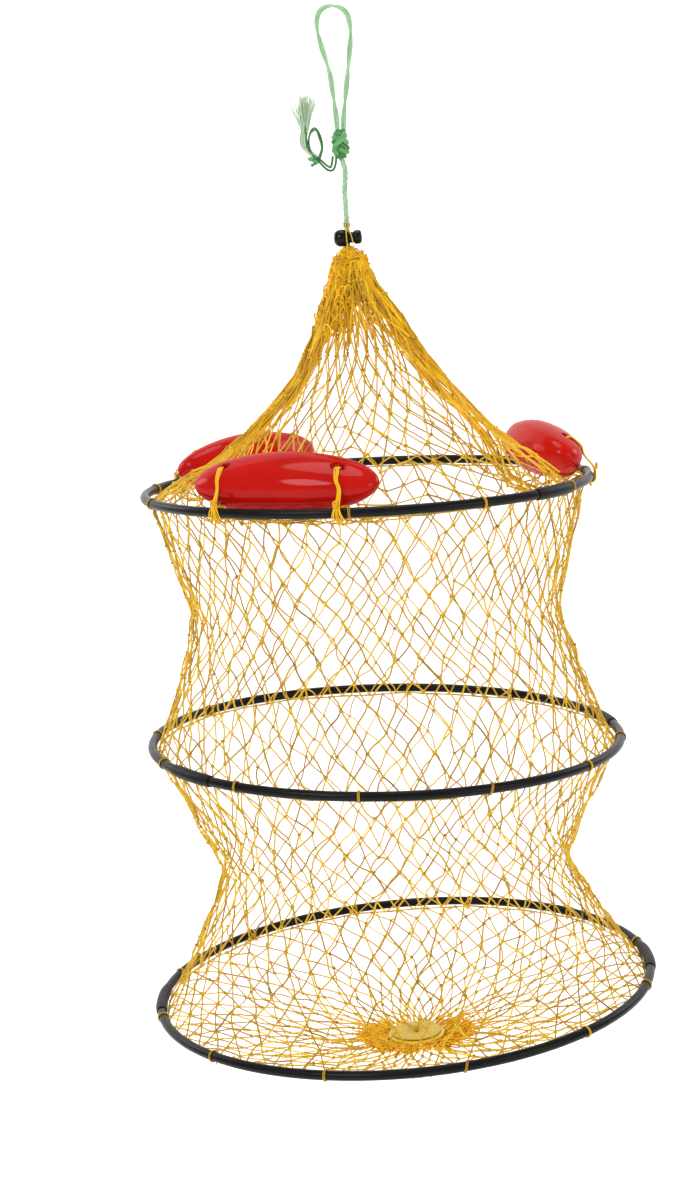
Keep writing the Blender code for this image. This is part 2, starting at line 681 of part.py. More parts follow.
# ---------------------------------------------------------------- base disc
def add_base_disc(materials):
    """The disc that the base meshes gather round, the plate on it and the knot through both."""
    bottom_z = HOOPS[2][2]
    axis = add_empty("base_disc_axis", (DISC_X, 0, bottom_z - BASE_DEPTH))
    edge = 0.0005
    bm = bmesh.new()
    lathe(bm, ((DISC_HOLE_R, 0), (DISC_R - edge, 0), (DISC_R, edge), (DISC_R, DISC_THICKNESS - edge),
               (DISC_R - edge, DISC_THICKNESS), (DISC_HOLE_R, DISC_THICKNESS)), 24, closed=True)
    finish_object("base_disc", bm, materials["disc"], axis)
    low = DISC_THICKNESS + GAP
    high = low + PLATE_THICKNESS
    bm = bmesh.new()
    lathe(bm, ((DISC_HOLE_R, low), (PLATE_R, low), (PLATE_R, high - edge), (PLATE_R - edge, high),
               (0.008, high), (0.006, high - edge), (DISC_HOLE_R, high - edge)), 24, closed=True)
    finish_object("base_plate", bm, materials["plate"], axis)
    bm = bmesh.new()
    head = high + GAP
    lathe(bm, ((0, GAP), (DISC_HOLE_R - GAP, GAP), (DISC_HOLE_R - GAP, head), (0.0048, head),
               (0.0044, head + 0.002), (0, head + 0.0034)), 10)
    finish_object("base_knot", bm, materials["net"], axis)


# ---------------------------------------------------------------- the whole trap
def main():
    for old in list(bpy.data.objects):
        bpy.data.objects.remove(old, do_unlink=True)
    materials = make_materials()
    axes = {}
    for hoop in HOOPS:
        axes[hoop[0]] = add_empty(f"{hoop[0]}_axis", (0, 0, hoop[2]), lean=hoop[3])
        add_hoop(hoop, materials, axes[hoop[0]])
        add_lacing(hoop, materials["net"], axes[hoop[0]])
    add_nets(materials["net"])
    add_floats(materials, axes["top_hoop"])
    add_rope(materials["rope"])
    add_mouth(materials)
    add_cord_lock(materials)
    add_base_disc(materials)


main()
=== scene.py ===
"""Looks of the folding crab trap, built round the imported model. Metres, +Z up, -Y is the front.

An azimuth is in degrees from the front (-Y) towards the right (+X).
"""

import math

import bmesh
import bpy
import numpy as np
from mathutils import Matrix, Vector


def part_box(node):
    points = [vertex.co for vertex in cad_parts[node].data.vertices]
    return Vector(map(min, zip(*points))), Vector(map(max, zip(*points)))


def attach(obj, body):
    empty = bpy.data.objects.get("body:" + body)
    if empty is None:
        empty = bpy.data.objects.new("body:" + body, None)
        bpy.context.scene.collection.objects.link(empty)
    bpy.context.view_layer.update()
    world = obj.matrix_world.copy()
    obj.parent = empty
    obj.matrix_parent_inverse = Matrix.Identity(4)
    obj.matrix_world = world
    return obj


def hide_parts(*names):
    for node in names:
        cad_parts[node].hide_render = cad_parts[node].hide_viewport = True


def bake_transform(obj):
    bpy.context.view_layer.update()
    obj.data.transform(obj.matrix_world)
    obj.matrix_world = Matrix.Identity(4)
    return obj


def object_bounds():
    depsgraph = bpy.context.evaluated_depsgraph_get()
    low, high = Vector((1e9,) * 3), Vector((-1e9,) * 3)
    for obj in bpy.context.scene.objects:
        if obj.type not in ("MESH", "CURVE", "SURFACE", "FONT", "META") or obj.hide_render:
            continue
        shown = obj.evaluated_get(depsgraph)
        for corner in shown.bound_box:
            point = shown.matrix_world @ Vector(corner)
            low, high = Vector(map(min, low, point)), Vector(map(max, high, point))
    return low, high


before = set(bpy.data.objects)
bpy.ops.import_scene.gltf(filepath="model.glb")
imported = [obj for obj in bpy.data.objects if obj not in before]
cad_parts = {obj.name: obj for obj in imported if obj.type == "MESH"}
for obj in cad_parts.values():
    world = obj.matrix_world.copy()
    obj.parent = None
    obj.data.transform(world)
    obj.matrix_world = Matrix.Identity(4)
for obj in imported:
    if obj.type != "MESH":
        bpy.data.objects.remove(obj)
CAD_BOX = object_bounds()

# ---------------------------------------------------------------- dimensions shared with the CAD
TUBE_R = 0.00365
SLEEVE_R = 0.0047
SLEEVE_HALF = 7.4  # half of a sleeve's length, in degrees round its hoop
MESHES = 48  # meshes round the netting
TWINE_R = 0.00063
SELVAGE_R = 0.0006
WRAPS = {"top_hoop": (11, -70.0), "middle_hoop": (12, -67.0), "bottom_hoop": (12, -78.5)}
# name, azimuth, the middle's distance from the Z axis, its height over the top hoop's centre line
FLOATS = (
    ("front_float", -24.3, 0.1412, 0.0181),
    ("right_float", 100.0, 0.1412, 0.0184),
    ("back_float", -134.6, 0.1345, 0.0142),
)
FLOAT_ROLL = 27.0  # how far a float leans out over its hoop, in degrees
TIE_LEAN = {("front_float", 1): 0.002, ("front_float", 2): 0.0065}  # how far a lashing slants along the hoop
FLOAT_HALF = (0.0723, 0.0246, 0.0205)
FLOAT_HOLE_U = 0.046  # a tie hole's distance along the float from its middle
FLOAT_HOLE_R = 0.0030
UPPER_WAIST = 0.142  # the netting's radius where it's drawn in, half-way down each bay
LOWER_WAIST = 0.136
LOCK_Z = -0.169
DISC_R = 0.0230

LOOP_ROUTE = (
    (-0.0010, 0.0, -0.0884), (-0.0013, 0.0002, -0.0767), (-0.0024, 0.0006, -0.0610),
    (-0.0039, 0.0008, -0.0448), (-0.0084, 0.0008, -0.0254), (-0.0105, 0.0004, -0.0114),
    (-0.0084, 0.0, -0.0022), (-0.0030, 0.0, 0.0019), (0.0036, 0.0, 0.0021), (0.0102, 0.0, -0.0010),
    (0.0136, 0.0004, -0.0070), (0.0144, 0.0008, -0.0177), (0.0133, 0.0010, -0.0272),
    (0.0108, 0.0008, -0.0420), (0.0080, 0.0006, -0.0580), (0.0049, 0.0002, -0.0767), (0.0036, 0.0, -0.0884),
)
LEAD_ROUTE = (
    (0.0004, 0.0, -0.1096), (0.0016, 0.0, -0.1140), (0.0023, 0.0, -0.1190), (0.0020, 0.0, -0.1250),
    (0.0010, 0.0, -0.1320), (0.0007, 0.0, -0.1400), (0.0006, 0.0, -0.1500), (0.0004, 0.0, -0.1590),
    (0.0, 0.0, -0.1660), (0.0, 0.0, -0.1758),
)
TAIL_ROUTE = (
    (-0.0048, 0.0012, -0.1076), (-0.0058, 0.0012, -0.1130), (-0.0078, 0.0010, -0.1168),
    (-0.0112, 0.0, -0.1156), (-0.0148, -0.0010, -0.1118), (-0.0186, -0.0016, -0.1080),
    (-0.0218, -0.0012, -0.1040), (-0.0242, -0.0004, -0.0990), (-0.0252, 0.0, -0.0930),
    (-0.0255, 0.0, -0.0860), (-0.0258, 0.0, -0.0790), (-0.0264, 0.0, -0.0700),
)


# ---------------------------------------------------------------- camera
def add_camera():
    """At the height of the cone, looking down a little, with the trap's top leaning left in the frame."""
    pitch, yaw, roll = (math.radians(a) for a in (9.33, -0.95, 4.6))
    forward = Vector((math.sin(yaw) * math.cos(pitch), math.cos(yaw) * math.cos(pitch), -math.sin(pitch)))
    side = forward.cross(Vector((0, 0, 1))).normalized()
    above = side.cross(forward)
    right = side * math.cos(roll) - above * math.sin(roll)
    up = side * math.sin(roll) + above * math.cos(roll)
    data = bpy.data.cameras.new("camera")
    data.lens = 64.4
    data.sensor_width = 36.0
    data.clip_start, data.clip_end = 0.05, 50.0
    camera = bpy.data.objects.new("camera", data)
    camera.matrix_world = Matrix((
        (right.x, up.x, -forward.x, 0.0),
        (right.y, up.y, -forward.y, -1.6296),
        (right.z, up.z, -forward.z, -0.172),
        (0, 0, 0, 1),
    ))
    bpy.context.scene.collection.objects.link(camera)
    bpy.context.scene.camera = camera


# ---------------------------------------------------------------- materials
class Nodes:
    """A material's node tree, with short ways to add what these surfaces use."""

    def __init__(self, name):
        self.material = bpy.data.materials.new(name)
        self.material.use_nodes = True
        self.tree = self.material.node_tree
        self.shader = self.tree.nodes["Principled BSDF"]
        self.coords = self.tree.nodes.new("ShaderNodeTexCoord").outputs["Object"]

    def add(self, kind, **values):
        node = self.tree.nodes.new(kind)
        for key, value in values.items():
            if key in node.inputs:
                node.inputs[key].default_value = value
            else:
                setattr(node, key, value)
        return node

    def link(self, start, end):
        self.tree.links.new(start, end)

    def noise(self, scale, detail=4.0, rough=0.6, stretch=(1, 1, 1)):
        mapping = self.add("ShaderNodeMapping", Scale=stretch)
        self.link(self.coords, mapping.inputs["Vector"])
        noise = self.add("ShaderNodeTexNoise", Scale=scale, Detail=detail, Roughness=rough)
        self.link(mapping.outputs["Vector"], noise.inputs["Vector"])
        return noise.outputs["Fac"]

    def ramp(self, source, stops):
        node = self.add("ShaderNodeValToRGB")
        elements = node.color_ramp.elements
        while len(elements) < len(stops):
            elements.new(0.5)
        for element, (place, colour) in zip(elements, stops):
            element.position = place
            element.color = (*colour, 1.0)
        self.link(source, node.inputs["Fac"])
        return node.outputs["Color"]

    def math(self, operation, a, b):
        node = self.add("ShaderNodeMath", operation=operation)
        for socket, value in zip(node.inputs, (a, b)):
            if isinstance(value, (int, float)):
                socket.default_value = value
            else:
                self.link(value, socket)
        return node.outputs["Value"]

    def attribute(self, name):
        return self.add("ShaderNodeAttribute", attribute_name=name).outputs["Fac"]

    def roughness(self, source, low, high):
        node = self.add("ShaderNodeMapRange")
        node.inputs["To Min"].default_value = low
        node.inputs["To Max"].default_value = high
        self.link(source, node.inputs["Value"])
        self.link(node.outputs["Result"], self.shader.inputs["Roughness"])

    def bump(self, source, distance, strength=1.0):
        node = self.add("ShaderNodeBump", Strength=strength, Distance=distance)
        self.link(source, node.inputs["Height"])
        self.link(node.outputs["Normal"], self.shader.inputs["Normal"])

    def colour(self, source):
        self.link(source, self.shader.inputs["Base Color"])


def twine_material(name, low, mid, high, sheen):
    """Twisted polyethylene: the shade changes from strand to strand and in fine streaks along each one."""
    n = Nodes(name)
    streak = n.noise(700.0, 5.0, 0.65)
    blotch = n.noise(60.0, 2.0, 0.5)
    mixed = n.math("ADD", n.math("MULTIPLY", n.attribute("shade"), 0.55), n.math("MULTIPLY", streak, 0.35))
    mixed = n.math("ADD", mixed, n.math("MULTIPLY", blotch, 0.2))
    n.colour(n.ramp(mixed, ((0.25, low), (0.52, mid), (0.82, high))))
    n.roughness(streak, 0.32, 0.58)
    n.bump(streak, 0.0003, 0.7)
    n.shader.inputs["Sheen Weight"].default_value = sheen
    n.shader.inputs["Specular IOR Level"].default_value = 0.25
    return n.material


def moulded_material(name, low, high, rough, scale, bump, coat=0.0, transmit=0.0, specular=0.5):
    """Moulded or extruded plastic: a faint mottle, fine handling marks and a slightly uneven skin."""
    n = Nodes(name)
    mottle = n.noise(scale, 5.0, 0.6)
    scuffs = n.noise(scale * 9, 3.0, 0.7, stretch=(1.0, 1.0, 0.25))
    n.colour(n.ramp(mottle, ((0.3, low), (0.7, high))))
    n.roughness(scuffs, rough * 0.82, rough * 1.3)
    n.bump(n.math("ADD", mottle, n.math("MULTIPLY", scuffs, 0.25)), bump, 0.6)
    n.shader.inputs["Coat Weight"].default_value = coat
    n.shader.inputs["Coat Roughness"].default_value = 0.08
    n.shader.inputs["Transmission Weight"].default_value = transmit
    n.shader.inputs["Specular IOR Level"].default_value = specular
    return n.material


TWINES = {  # a name, three shades from the deepest to the lightest, and the sheen
    "net": ("net_twine", (0.3, 0.155, 0.004), (0.62, 0.36, 0.008), (0.9, 0.6, 0.03), 0.0),
    "bunch": ("bunched_twine", (0.6, 0.25, 0.002), (0.88, 0.48, 0.006), (0.96, 0.67, 0.02), 0.0),
    "rope": ("rope_fibre", (0.13, 0.34, 0.14), (0.32, 0.55, 0.31), (0.58, 0.76, 0.54), 0.2),
    "knot": ("rope_knot_fibre", (0.02, 0.17, 0.03), (0.1, 0.35, 0.11), (0.34, 0.6, 0.32), 0.1),
    "rope_dark": ("rope_core", (0.02, 0.1, 0.03), (0.05, 0.18, 0.06), (0.12, 0.32, 0.13), 0.0),
    "fibre": ("loose_fibre", (0.22, 0.44, 0.2), (0.44, 0.64, 0.4), (0.76, 0.82, 0.72), 0.2),
}
BLACK = ((0.0035, 0.0035, 0.004), (0.007, 0.007, 0.0075))


def make_materials():
    materials = {key: twine_material(*look) for key, look in TWINES.items()}
    materials |= {
        "hoop": moulded_material("hoop_plastic", *BLACK, 0.3, 90.0, 0.0002, specular=0.14),
        "sleeve": moulded_material("sleeve_rubber", *BLACK, 0.42, 120.0, 0.0002, specular=0.14),
        "float": moulded_material("float_plastic", (0.46, 0.004, 0.002), (0.55, 0.008, 0.004), 0.2, 35.0,
                                  0.0004, coat=0.3, specular=0.0),
        "lock": moulded_material("lock_plastic", *BLACK, 0.14, 150.0, 0.0001, specular=0.2),
        "disc": moulded_material("disc_plastic", (0.78, 0.55, 0.006), (0.88, 0.66, 0.02), 0.3, 160.0,
                                 0.0002, coat=0.1, transmit=0.1),
        "plate": moulded_material("plate_plastic", (0.58, 0.4, 0.02), (0.68, 0.48, 0.04), 0.42, 180.0,
                                  0.0003),
        "steel": moulded_material("steel_wire", (0.45, 0.45, 0.46), (0.62, 0.62, 0.63), 0.32, 400.0, 0.0001),
    }
    materials["steel"].node_tree.nodes["Principled BSDF"].inputs["Metallic"].default_value = 1.0
    return materials


# ---------------------------------------------------------------- strands
def unit(v):
    return v / np.maximum(np.linalg.norm(v, axis=-1, keepdims=True), 1e-12)


def round_angles(count):
    """Even angles once round, without the last that would repeat the first."""
    return np.linspace(0, 2 * np.pi, count + 1)[:-1]


def on_ring(radius, azimuth, height=0.0):
    """Points at azimuths in degrees, on a ring round the Z axis."""
    angle = np.radians(azimuth)
    height = np.broadcast_to(height, np.shape(radius * angle))
    return np.stack([radius * np.sin(angle), -radius * np.cos(angle), height], -1)


def smooth_route(route, spacing):
    """Points at an even spacing on a Catmull-Rom curve through the route."""
    p = np.asarray(route, float)
    p = np.vstack([2 * p[0] - p[1], p, 2 * p[-1] - p[-2]])
    t = np.arange(20)[:, None] / 20
    dense = [
        0.5 * (2 * b + (c - a) * t + (2 * a - 5 * b + 4 * c - d) * t**2 + (3 * b - a - 3 * c + d) * t**3)
        for a, b, c, d in zip(p, p[1:], p[2:], p[3:])
    ]
    dense = np.vstack([*dense, p[-2][None]])
    steps = distances(dense)
    even = np.linspace(0, steps[-1], max(3, round(steps[-1] / spacing) + 1))
    return np.stack([np.interp(even, steps, dense[:, k]) for k in range(3)], -1)


def frames_along(points, closed=False):
    """A normal and binormal at each point that don't twist about the line."""
    tangents = unit(np.gradient(points, axis=0))
    if closed:
        tangents = unit(np.roll(points, -1, 0) - np.roll(points, 1, 0))
    seed = np.array([0.0, 0.0, 1.0]) if abs(tangents[0][2]) < 0.8 else np.array([0.0, 1.0, 0.0])
    normals = [unit(seed - tangents[0] * (seed @ tangents[0]))]
    for tangent in tangents[1:]:
        carried = normals[-1] - tangent * (normals[-1] @ tangent)
        normals.append(unit(carried))
    normals = np.array(normals)
    return normals, np.cross(tangents, normals)


class Strands:
    """Collects round strands and closed rings, and builds them as one mesh with a shade for each."""

    def __init__(self):
        self.points, self.quads, self.caps, self.shades, self.count = [], [], [], [], 0

    def rings(self, centres, normals, binormals, radius, sides, shade, closed):
        """Tubes round lines of centres, with the frame at each point, capped where they're open."""
        k, m = centres.shape[:2]
        angle = 2 * np.pi * np.arange(sides) / sides
        radius = np.broadcast_to(radius, (k, m))[:, :, None, None]
        ring = np.cos(angle)[:, None] * normals[:, :, None] + np.sin(angle)[:, None] * binormals[:, :, None]
        self.points.append((centres[:, :, None] + radius * ring).reshape(-1, 3))
        self.shades.append(np.repeat(np.broadcast_to(shade, k), m * sides))
        base = self.count + np.arange(k * m).reshape(k, m)[:, :, None] * sides + np.arange(sides)
        low = base if closed else base[:, :-1]
        high = np.roll(base, -1, 1) if closed else base[:, 1:]
        quads = np.stack([low, np.roll(low, -1, 2), np.roll(high, -1, 2), high], -1)
        self.quads.append(quads.reshape(-1, 4))
        if not closed:
            self.caps.append(base[:, 0, ::-1].reshape(-1, sides))
            self.caps.append(base[:, -1].reshape(-1, sides))
        self.count += k * m * sides

    def bars(self, centres, outward, radius, sides, shade):
        """Many strands of equal point count. outward is a direction across each one."""
        tangents = unit(np.gradient(centres, axis=1))
        outward = np.broadcast_to(outward[:, None], centres.shape)
        normals = unit(outward - tangents * np.sum(outward * tangents, -1, keepdims=True))
        self.rings(centres, normals, np.cross(tangents, normals), radius, sides, shade, False)

    def strand(self, points, radius, sides, shade, closed=False):
        """One strand along a line of points."""
        points = np.asarray(points, float)
        normals, binormals = frames_along(points, closed)
        self.rings(points[None], normals[None], binormals[None], radius, sides, shade, closed)

    def loops(self, centres, axis_a, axis_b, reach, radius, sides, steps, shade):
        """Small closed rings round the knots, in the planes of axis_a and axis_b."""
        turn = 2 * np.pi * np.arange(steps) / steps
        out = np.cos(turn)[:, None] * axis_a[:, None] + np.sin(turn)[:, None] * axis_b[:, None]
        line = centres[:, None] + reach[:, None, None] * out
        up = np.broadcast_to(np.cross(axis_a, axis_b)[:, None], line.shape)
        self.rings(line, out, up, radius[:, None], sides, shade, True)

    def knot(self, centre, axis_a, axis_b, reach, radius, sides, steps, shade):
        """One small closed ring, as loops has them."""
        sizes = np.array([[reach], [radius]])
        self.loops(centre[None], axis_a[None], axis_b[None], *sizes, sides, steps, shade)

    def build(self, name, material, body=None, slot=None, nodes=(), angle=70):
        points = np.concatenate(self.points).astype(np.float32)
        groups = [np.concatenate(self.quads)] + self.caps
        loops = np.concatenate([g.ravel() for g in groups]).astype(np.int32)
        sizes = np.concatenate([np.full(len(g), g.shape[1]) for g in groups])
        mesh = bpy.data.meshes.new(name)
        mesh.vertices.add(len(points))
        mesh.vertices.foreach_set("co", points.ravel())
        mesh.loops.add(len(loops))
        mesh.loops.foreach_set("vertex_index", loops)
        mesh.polygons.add(len(sizes))
        mesh.polygons.foreach_set("loop_start", np.r_[0, np.cumsum(sizes)[:-1]].astype(np.int32))
        mesh.update(calc_edges=True)
        shade = mesh.attributes.new("shade", "FLOAT", "POINT")
        shade.data.foreach_set("value", np.concatenate(self.shades).astype(np.float32))
        return finish_piece(name, mesh, material, body, slot, nodes, angle)


def finish_piece(name, mesh, material, body=None, slot=None, nodes=(), angle=40):
    """Makes a visible piece, parented to its body's empty when a body is given. A moved piece gets its body
    later.
    """
    mesh.materials.append(material)
    mesh.shade_smooth()
    mesh.set_sharp_from_angle(angle=math.radians(angle))
    piece = bpy.data.objects.new(name, mesh)
    bpy.context.scene.collection.objects.link(piece)
    if body:
        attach(piece, body)
    if slot:
        stand_for(piece, slot, *nodes)
    return piece


def stand_for(piece, slot, *nodes):
    """Hides the CAD nodes that a piece is shown in place of; piece and slot are not used."""
    if nodes:
        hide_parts(*nodes)


def distances(points):
    """How far along a line each of its points is."""
    return np.r_[0, np.cumsum(np.linalg.norm(np.diff(points, axis=0), axis=1))]


def wind(strands, line, plies, offset, radius, turn, shades, closed=False):
    """Plies wound round a line, by the angle that each has turned at each point."""
    normals, binormals = frames_along(line, closed)
    for ply in range(plies):
        angle = (turn + 2 * np.pi * ply / plies)[:, None]
        path = line + offset * (np.cos(angle) * normals + np.sin(angle) * binormals)
        strands.strand(path, radius, 7, shades[0] + shades[1] * ply / plies, closed)


def twisted(strands, route, plies, offset, radius, pitch, phase=0.0):
    """Plies wound round a route at a steady pitch. Returns the route's line and its length."""
    line = smooth_route(route, 0.0009)
    along = distances(line)
    wind(strands, line, plies, offset, radius, phase + along * 2 * np.pi / pitch, (0.35, 0.3))
    return line, along[-1]


# ---------------------------------------------------------------- rope
def add_rope(materials):
    """The hanging loop, the lead down to the lock and the slack tail, each wound from its plies."""
    loop = Strands()
    line, loop_length = twisted(loop, LOOP_ROUTE, 2, 0.00104, 0.00108, 0.052, 0.5)
    twisted(loop, LOOP_ROUTE, 3, 0.00062, 0.00062, 0.009, 0.2)
    loop = loop.build("rope_loop_plies", materials["rope"], "hanging_rope", "rope", ["rope_loop"])
    lead = Strands()
    lead_line, lead_length = twisted(lead, LEAD_ROUTE[::-1], 3, 0.00088, 0.00122, 0.0125)
    lead = lead.build("rope_lead_plies", materials["rope"], "hanging_rope", "rope", ["rope_lead"])
    tail = Strands()
    tail_line, tail_length = twisted(tail, TAIL_ROUTE, 2, 0.0014, 0.00088, 0.16, 1.3)
    tail = tail.build("rope_tail_plies", materials["rope_dark"], "hanging_rope", "rope", ["rope_tail"])
    knot = add_knot(materials)
    extras = add_tail_ends(materials, tail_line)


def add_knot(materials):
    """A loop knot pulled tight: slanting turns of the rope round its own two legs, and one across them."""
    strands = Strands()
    turns = ((-0.0924, 0.0034, 0.0036, -16, 0.35), (-0.0958, 0.0046, 0.0046, -24, 0.6),
             (-0.0996, 0.0049, 0.0048, -26, 0.15), (-0.1034, 0.0044, 0.0044, -20, 0.5))
    t = round_angles(48)
    for height, wide, deep, slant, shade in turns:
        x, y = wide * np.cos(t), deep * np.sin(t)
        rise = x * math.tan(math.radians(slant)) + 0.0003 * np.sin(2 * t)
        line = np.stack([0.0004 + x, y, height + rise], -1)
        add_yarns(strands, line, 3, 0.00105, 0.00115, 2, shade, True)
    across = ((-0.003, -0.003, -0.1068), (-0.0046, -0.0056, -0.103), (-0.0024, -0.0074, -0.099),
              (0.0016, -0.0074, -0.0956), (0.004, -0.0052, -0.0926), (0.003, 0.0, -0.0902))
    add_yarns(strands, smooth_route(across, 0.0008), 3, 0.001, 0.00112, 2.2, 0.55, False)
    core = smooth_route(((0.0012, 0.0, -0.0884), (0.0008, 0.0, -0.095), (0.0004, 0.0, -0.101),
                         (0.0004, 0.0, -0.1096)), 0.0008)
    strands.strand(core, 0.004, 12, 0.1)
    return strands.build("rope_knot_turns", materials["knot"], "hanging_rope", "rope", ["rope_knot"])


def add_yarns(strands, line, plies, offset, radius, turns, shade, closed):
    """Plies wound a number of times round a line."""
    turn = np.linspace(0, 2 * np.pi * turns, len(line) + closed)[:len(line)]
    wind(strands, line, plies, offset, radius, turn, (shade - 0.1, 0.25), closed)


def add_tail_ends(materials, tail_line):
    """The tail's opened strands: a slack ring of dark core strands, a small hitch and the frayed fibres."""
    dark = Strands()
    for k, shift in enumerate((0.0, 0.0014)):
        ring = ((-0.0158 - shift, -0.0016, -0.1085), (-0.0134 - 0.4 * shift, -0.0022, -0.101),
                (-0.014 - shift, -0.002, -0.093), (-0.0172, -0.0012, -0.0862 - shift),
                (-0.0208, 0.0, -0.0872 - shift), (-0.0232, 0.0012, -0.0936), (-0.023, 0.0016, -0.1),
                (-0.0208, 0.0014, -0.106), (-0.018, 0.0, -0.1092))
        dark.strand(smooth_route(ring, 0.0009), 0.00072, 7, 0.35 + 0.3 * k)
    dark = dark.build("rope_tail_ring", materials["rope_dark"], "hanging_rope", "rope")
    hitch = Strands()
    t = round_angles(32)
    for k, height in enumerate((-0.1118, -0.1098, -0.1076)):
        centre = np.array([-0.0196 - 0.001 * k, 0.0, height])
        lean = (0.5, -0.35, 0.2)[k]
        ring = centre + np.stack([0.0029 * np.cos(t), 0.0026 * np.sin(t), 0.0029 * lean * np.cos(t)], -1)
        add_yarns(hitch, ring, 2, 0.00055, 0.00075, 2, 0.35 + 0.15 * k, True)
    hitch = hitch.build("rope_tail_hitch", materials["knot"], "hanging_rope", "rope")
    return [dark, hitch, add_fibres(materials, tail_line)]


def add_fibres(materials, tail_line):
    """The tail's frayed fibres: most fan out from its last stretch, a few stray ones lie further out."""
    rng = np.random.default_rng(11)
    fibres = Strands()
    spine = tail_line[np.argmin(np.abs(tail_line[:, 2] + 0.1065)):]
    base = np.linspace(0, 1, len(spine))
    for _ in range(170):
        along = rng.uniform(0.0, 0.45)
        reach = rng.uniform(0.45, 1.0)
        way = np.linspace(along, 1.0, 8)
        centre = np.stack([np.interp(way, base, spine[:, k]) for k in range(3)], -1)
        side, depth = rng.normal(0, 1, 2)
        fan = np.clip((way - 0.5) / 0.5, 0, 1) ** 1.6
        bow = np.sin(np.pi * np.clip(way / 0.55, 0, 1))
        centre[:, 0] += side * (0.0012 + 0.0042 * fan * reach) + rng.normal(0, 0.0002, 8)
        centre[:, 0] += 0.0022 * fan - 0.003 * bow
        centre[:, 1] += depth * (0.0009 + 0.0026 * fan * reach)
        centre[:, 2] += fan * (0.015 * reach - 0.005 - 0.0008 * abs(side))
        path = smooth_route(centre, 0.0022)
        taper = np.linspace(0.00032, 0.00014, len(path))
        fibres.strand(path, taper, 4, np.clip(0.25 + 0.6 * reach * rng.uniform(0.2, 1.2), 0, 1))
    for _ in range(16):
        start = np.array([-0.0262, 0.0, -0.0905]) + rng.normal(0, 0.0006, 3)
        tip = np.array([rng.uniform(-0.0385, -0.0315), rng.normal(0, 0.002), rng.uniform(-0.069, -0.063)])
        path = smooth_route((start, start * 0.45 + tip * 0.55 + rng.normal(0, 0.0004, 3), tip), 0.0022)
        fibres.strand(path, np.linspace(0.00024, 0.00012, len(path)), 4, rng.uniform(0.6, 1.0))
    return fibres.build("rope_tail_fibres", materials["fibre"], "hanging_rope", "rope")


# ---------------------------------------------------------------- hoops
class Ring:
    """A hoop as the CAD has it: its centre, its radius and the plane that it lies in."""

    def __init__(self, name):
        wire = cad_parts[f"{name}_core_wire"]
        points = np.array([v.co for v in wire.data.vertices], float)
        self.name = name
        self.centre = points.mean(0)
        local = points - self.centre
        self.normal = np.linalg.svd(local, full_matrices=False)[2][2]
        self.normal *= np.sign(self.normal[2])
        in_plane = local - np.outer(local @ self.normal, self.normal)
        self.radius = float(np.mean(np.linalg.norm(in_plane, axis=1)))
        self.across = unit(np.array([self.normal[2], 0.0, -self.normal[0]]))
        self.ahead = np.cross(self.normal, self.across)
        self.wraps = self.wrap_azimuths()
        self.sags = np.random.default_rng(len(name) * 7).uniform(0.0003, 0.0018, 400)

    def wrap_azimuths(self):
        count, first = WRAPS[self.name]
        evenly = [first + 360 * k / count for k in range(count)]
        offset = math.degrees(math.asin(FLOAT_HOLE_U / self.radius))
        taken = [f[1] + side * offset for f in FLOATS for side in (-1, 1)] if self.name == "top_hoop" else []
        kept = [a for a in evenly if all(abs((a - t + 180) % 360 - 180) > 3 for t in taken)]
        self.ties = sorted(a % 360 for a in kept + taken)
        return kept

    def at(self, azimuth, inward=0.0, up=0.0):
        """A point by azimuth, so far inside the hoop tube's centre line and above it, in the hoop's plane."""
        angle = np.radians(azimuth)
        radius = self.radius - inward
        flat = np.sin(angle)[..., None] * self.across - np.cos(angle)[..., None] * self.ahead
        return self.centre + radius[..., None] * flat + np.asarray(up)[..., None] * self.normal

    def selvage(self, azimuth):
        """The line under the hoop that holds the netting: close to the tube at each tie, slack between."""
        azimuth = np.asarray(azimuth, float) % 360
        ties = np.array([self.ties[-1] - 360, *self.ties, self.ties[0] + 360])
        k = np.clip(np.searchsorted(ties, azimuth) - 1, 0, len(ties) - 2)
        share = (azimuth - ties[k]) / (ties[k + 1] - ties[k])
        droop = 4 * share * (1 - share) * self.sags[k % 400]
        return self.at(azimuth, 0.0044 + 0.25 * droop, -0.0036 - droop)


def bent_tube(name, node, ring, start, end, reach, sides, material, bell=0.0):
    """A length of tube round the hoop, between two azimuths, closed at both ends. bell narrows its ends."""
    count = max(4, round(abs(end - start) / 2.0))
    azimuth = np.linspace(start, end, count + 1)
    line = ring.at(azimuth, np.zeros(count + 1), np.zeros(count + 1))
    radius = np.full(count + 1, reach)
    if bell:
        radius[[0, -1]] = reach - bell
    strands = Strands()
    tangents = unit(np.gradient(line, axis=0))
    normals = np.broadcast_to(ring.normal, line.shape)
    strands.rings(line[None], normals[None], np.cross(tangents, normals)[None], radius, sides, 0.5, False)
    strands.build(f"{ring.name}_{name}", material, ring.name, "hoop", [f"{ring.name}_{node}"], 50)


def sleeve_azimuths(ring):
    found = []
    for number in (1, 2):
        low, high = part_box(f"{ring.name}_sleeve_{number}")
        middle = (np.array(low) + np.array(high)) / 2 - ring.centre
        found.append(math.degrees(math.atan2(middle @ ring.across, -(middle @ ring.ahead))))
    return found


def add_hoop(ring, materials):
    """Two half tubes and the two sleeves that join them, as the CAD has them."""
    sleeves = sleeve_azimuths(ring)
    first, second = sorted(sleeves)
    for half, start, end in (("right", first, second), ("left", second, first + 360)):
        bent_tube(f"{half}_half", f"{half}_tube", ring, start + 0.1, end - 0.1, TUBE_R, 16, materials["hoop"])
    for number, azimuth in enumerate(sleeves, 1):
        bent_tube(f"joint_{number}", f"sleeve_{number}", ring, azimuth - SLEEVE_HALF, azimuth + SLEEVE_HALF,
                  SLEEVE_R, 18, materials["sleeve"], 0.0004)
    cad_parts[f"{ring.name}_core_wire"].data.materials[0] = materials["steel"]


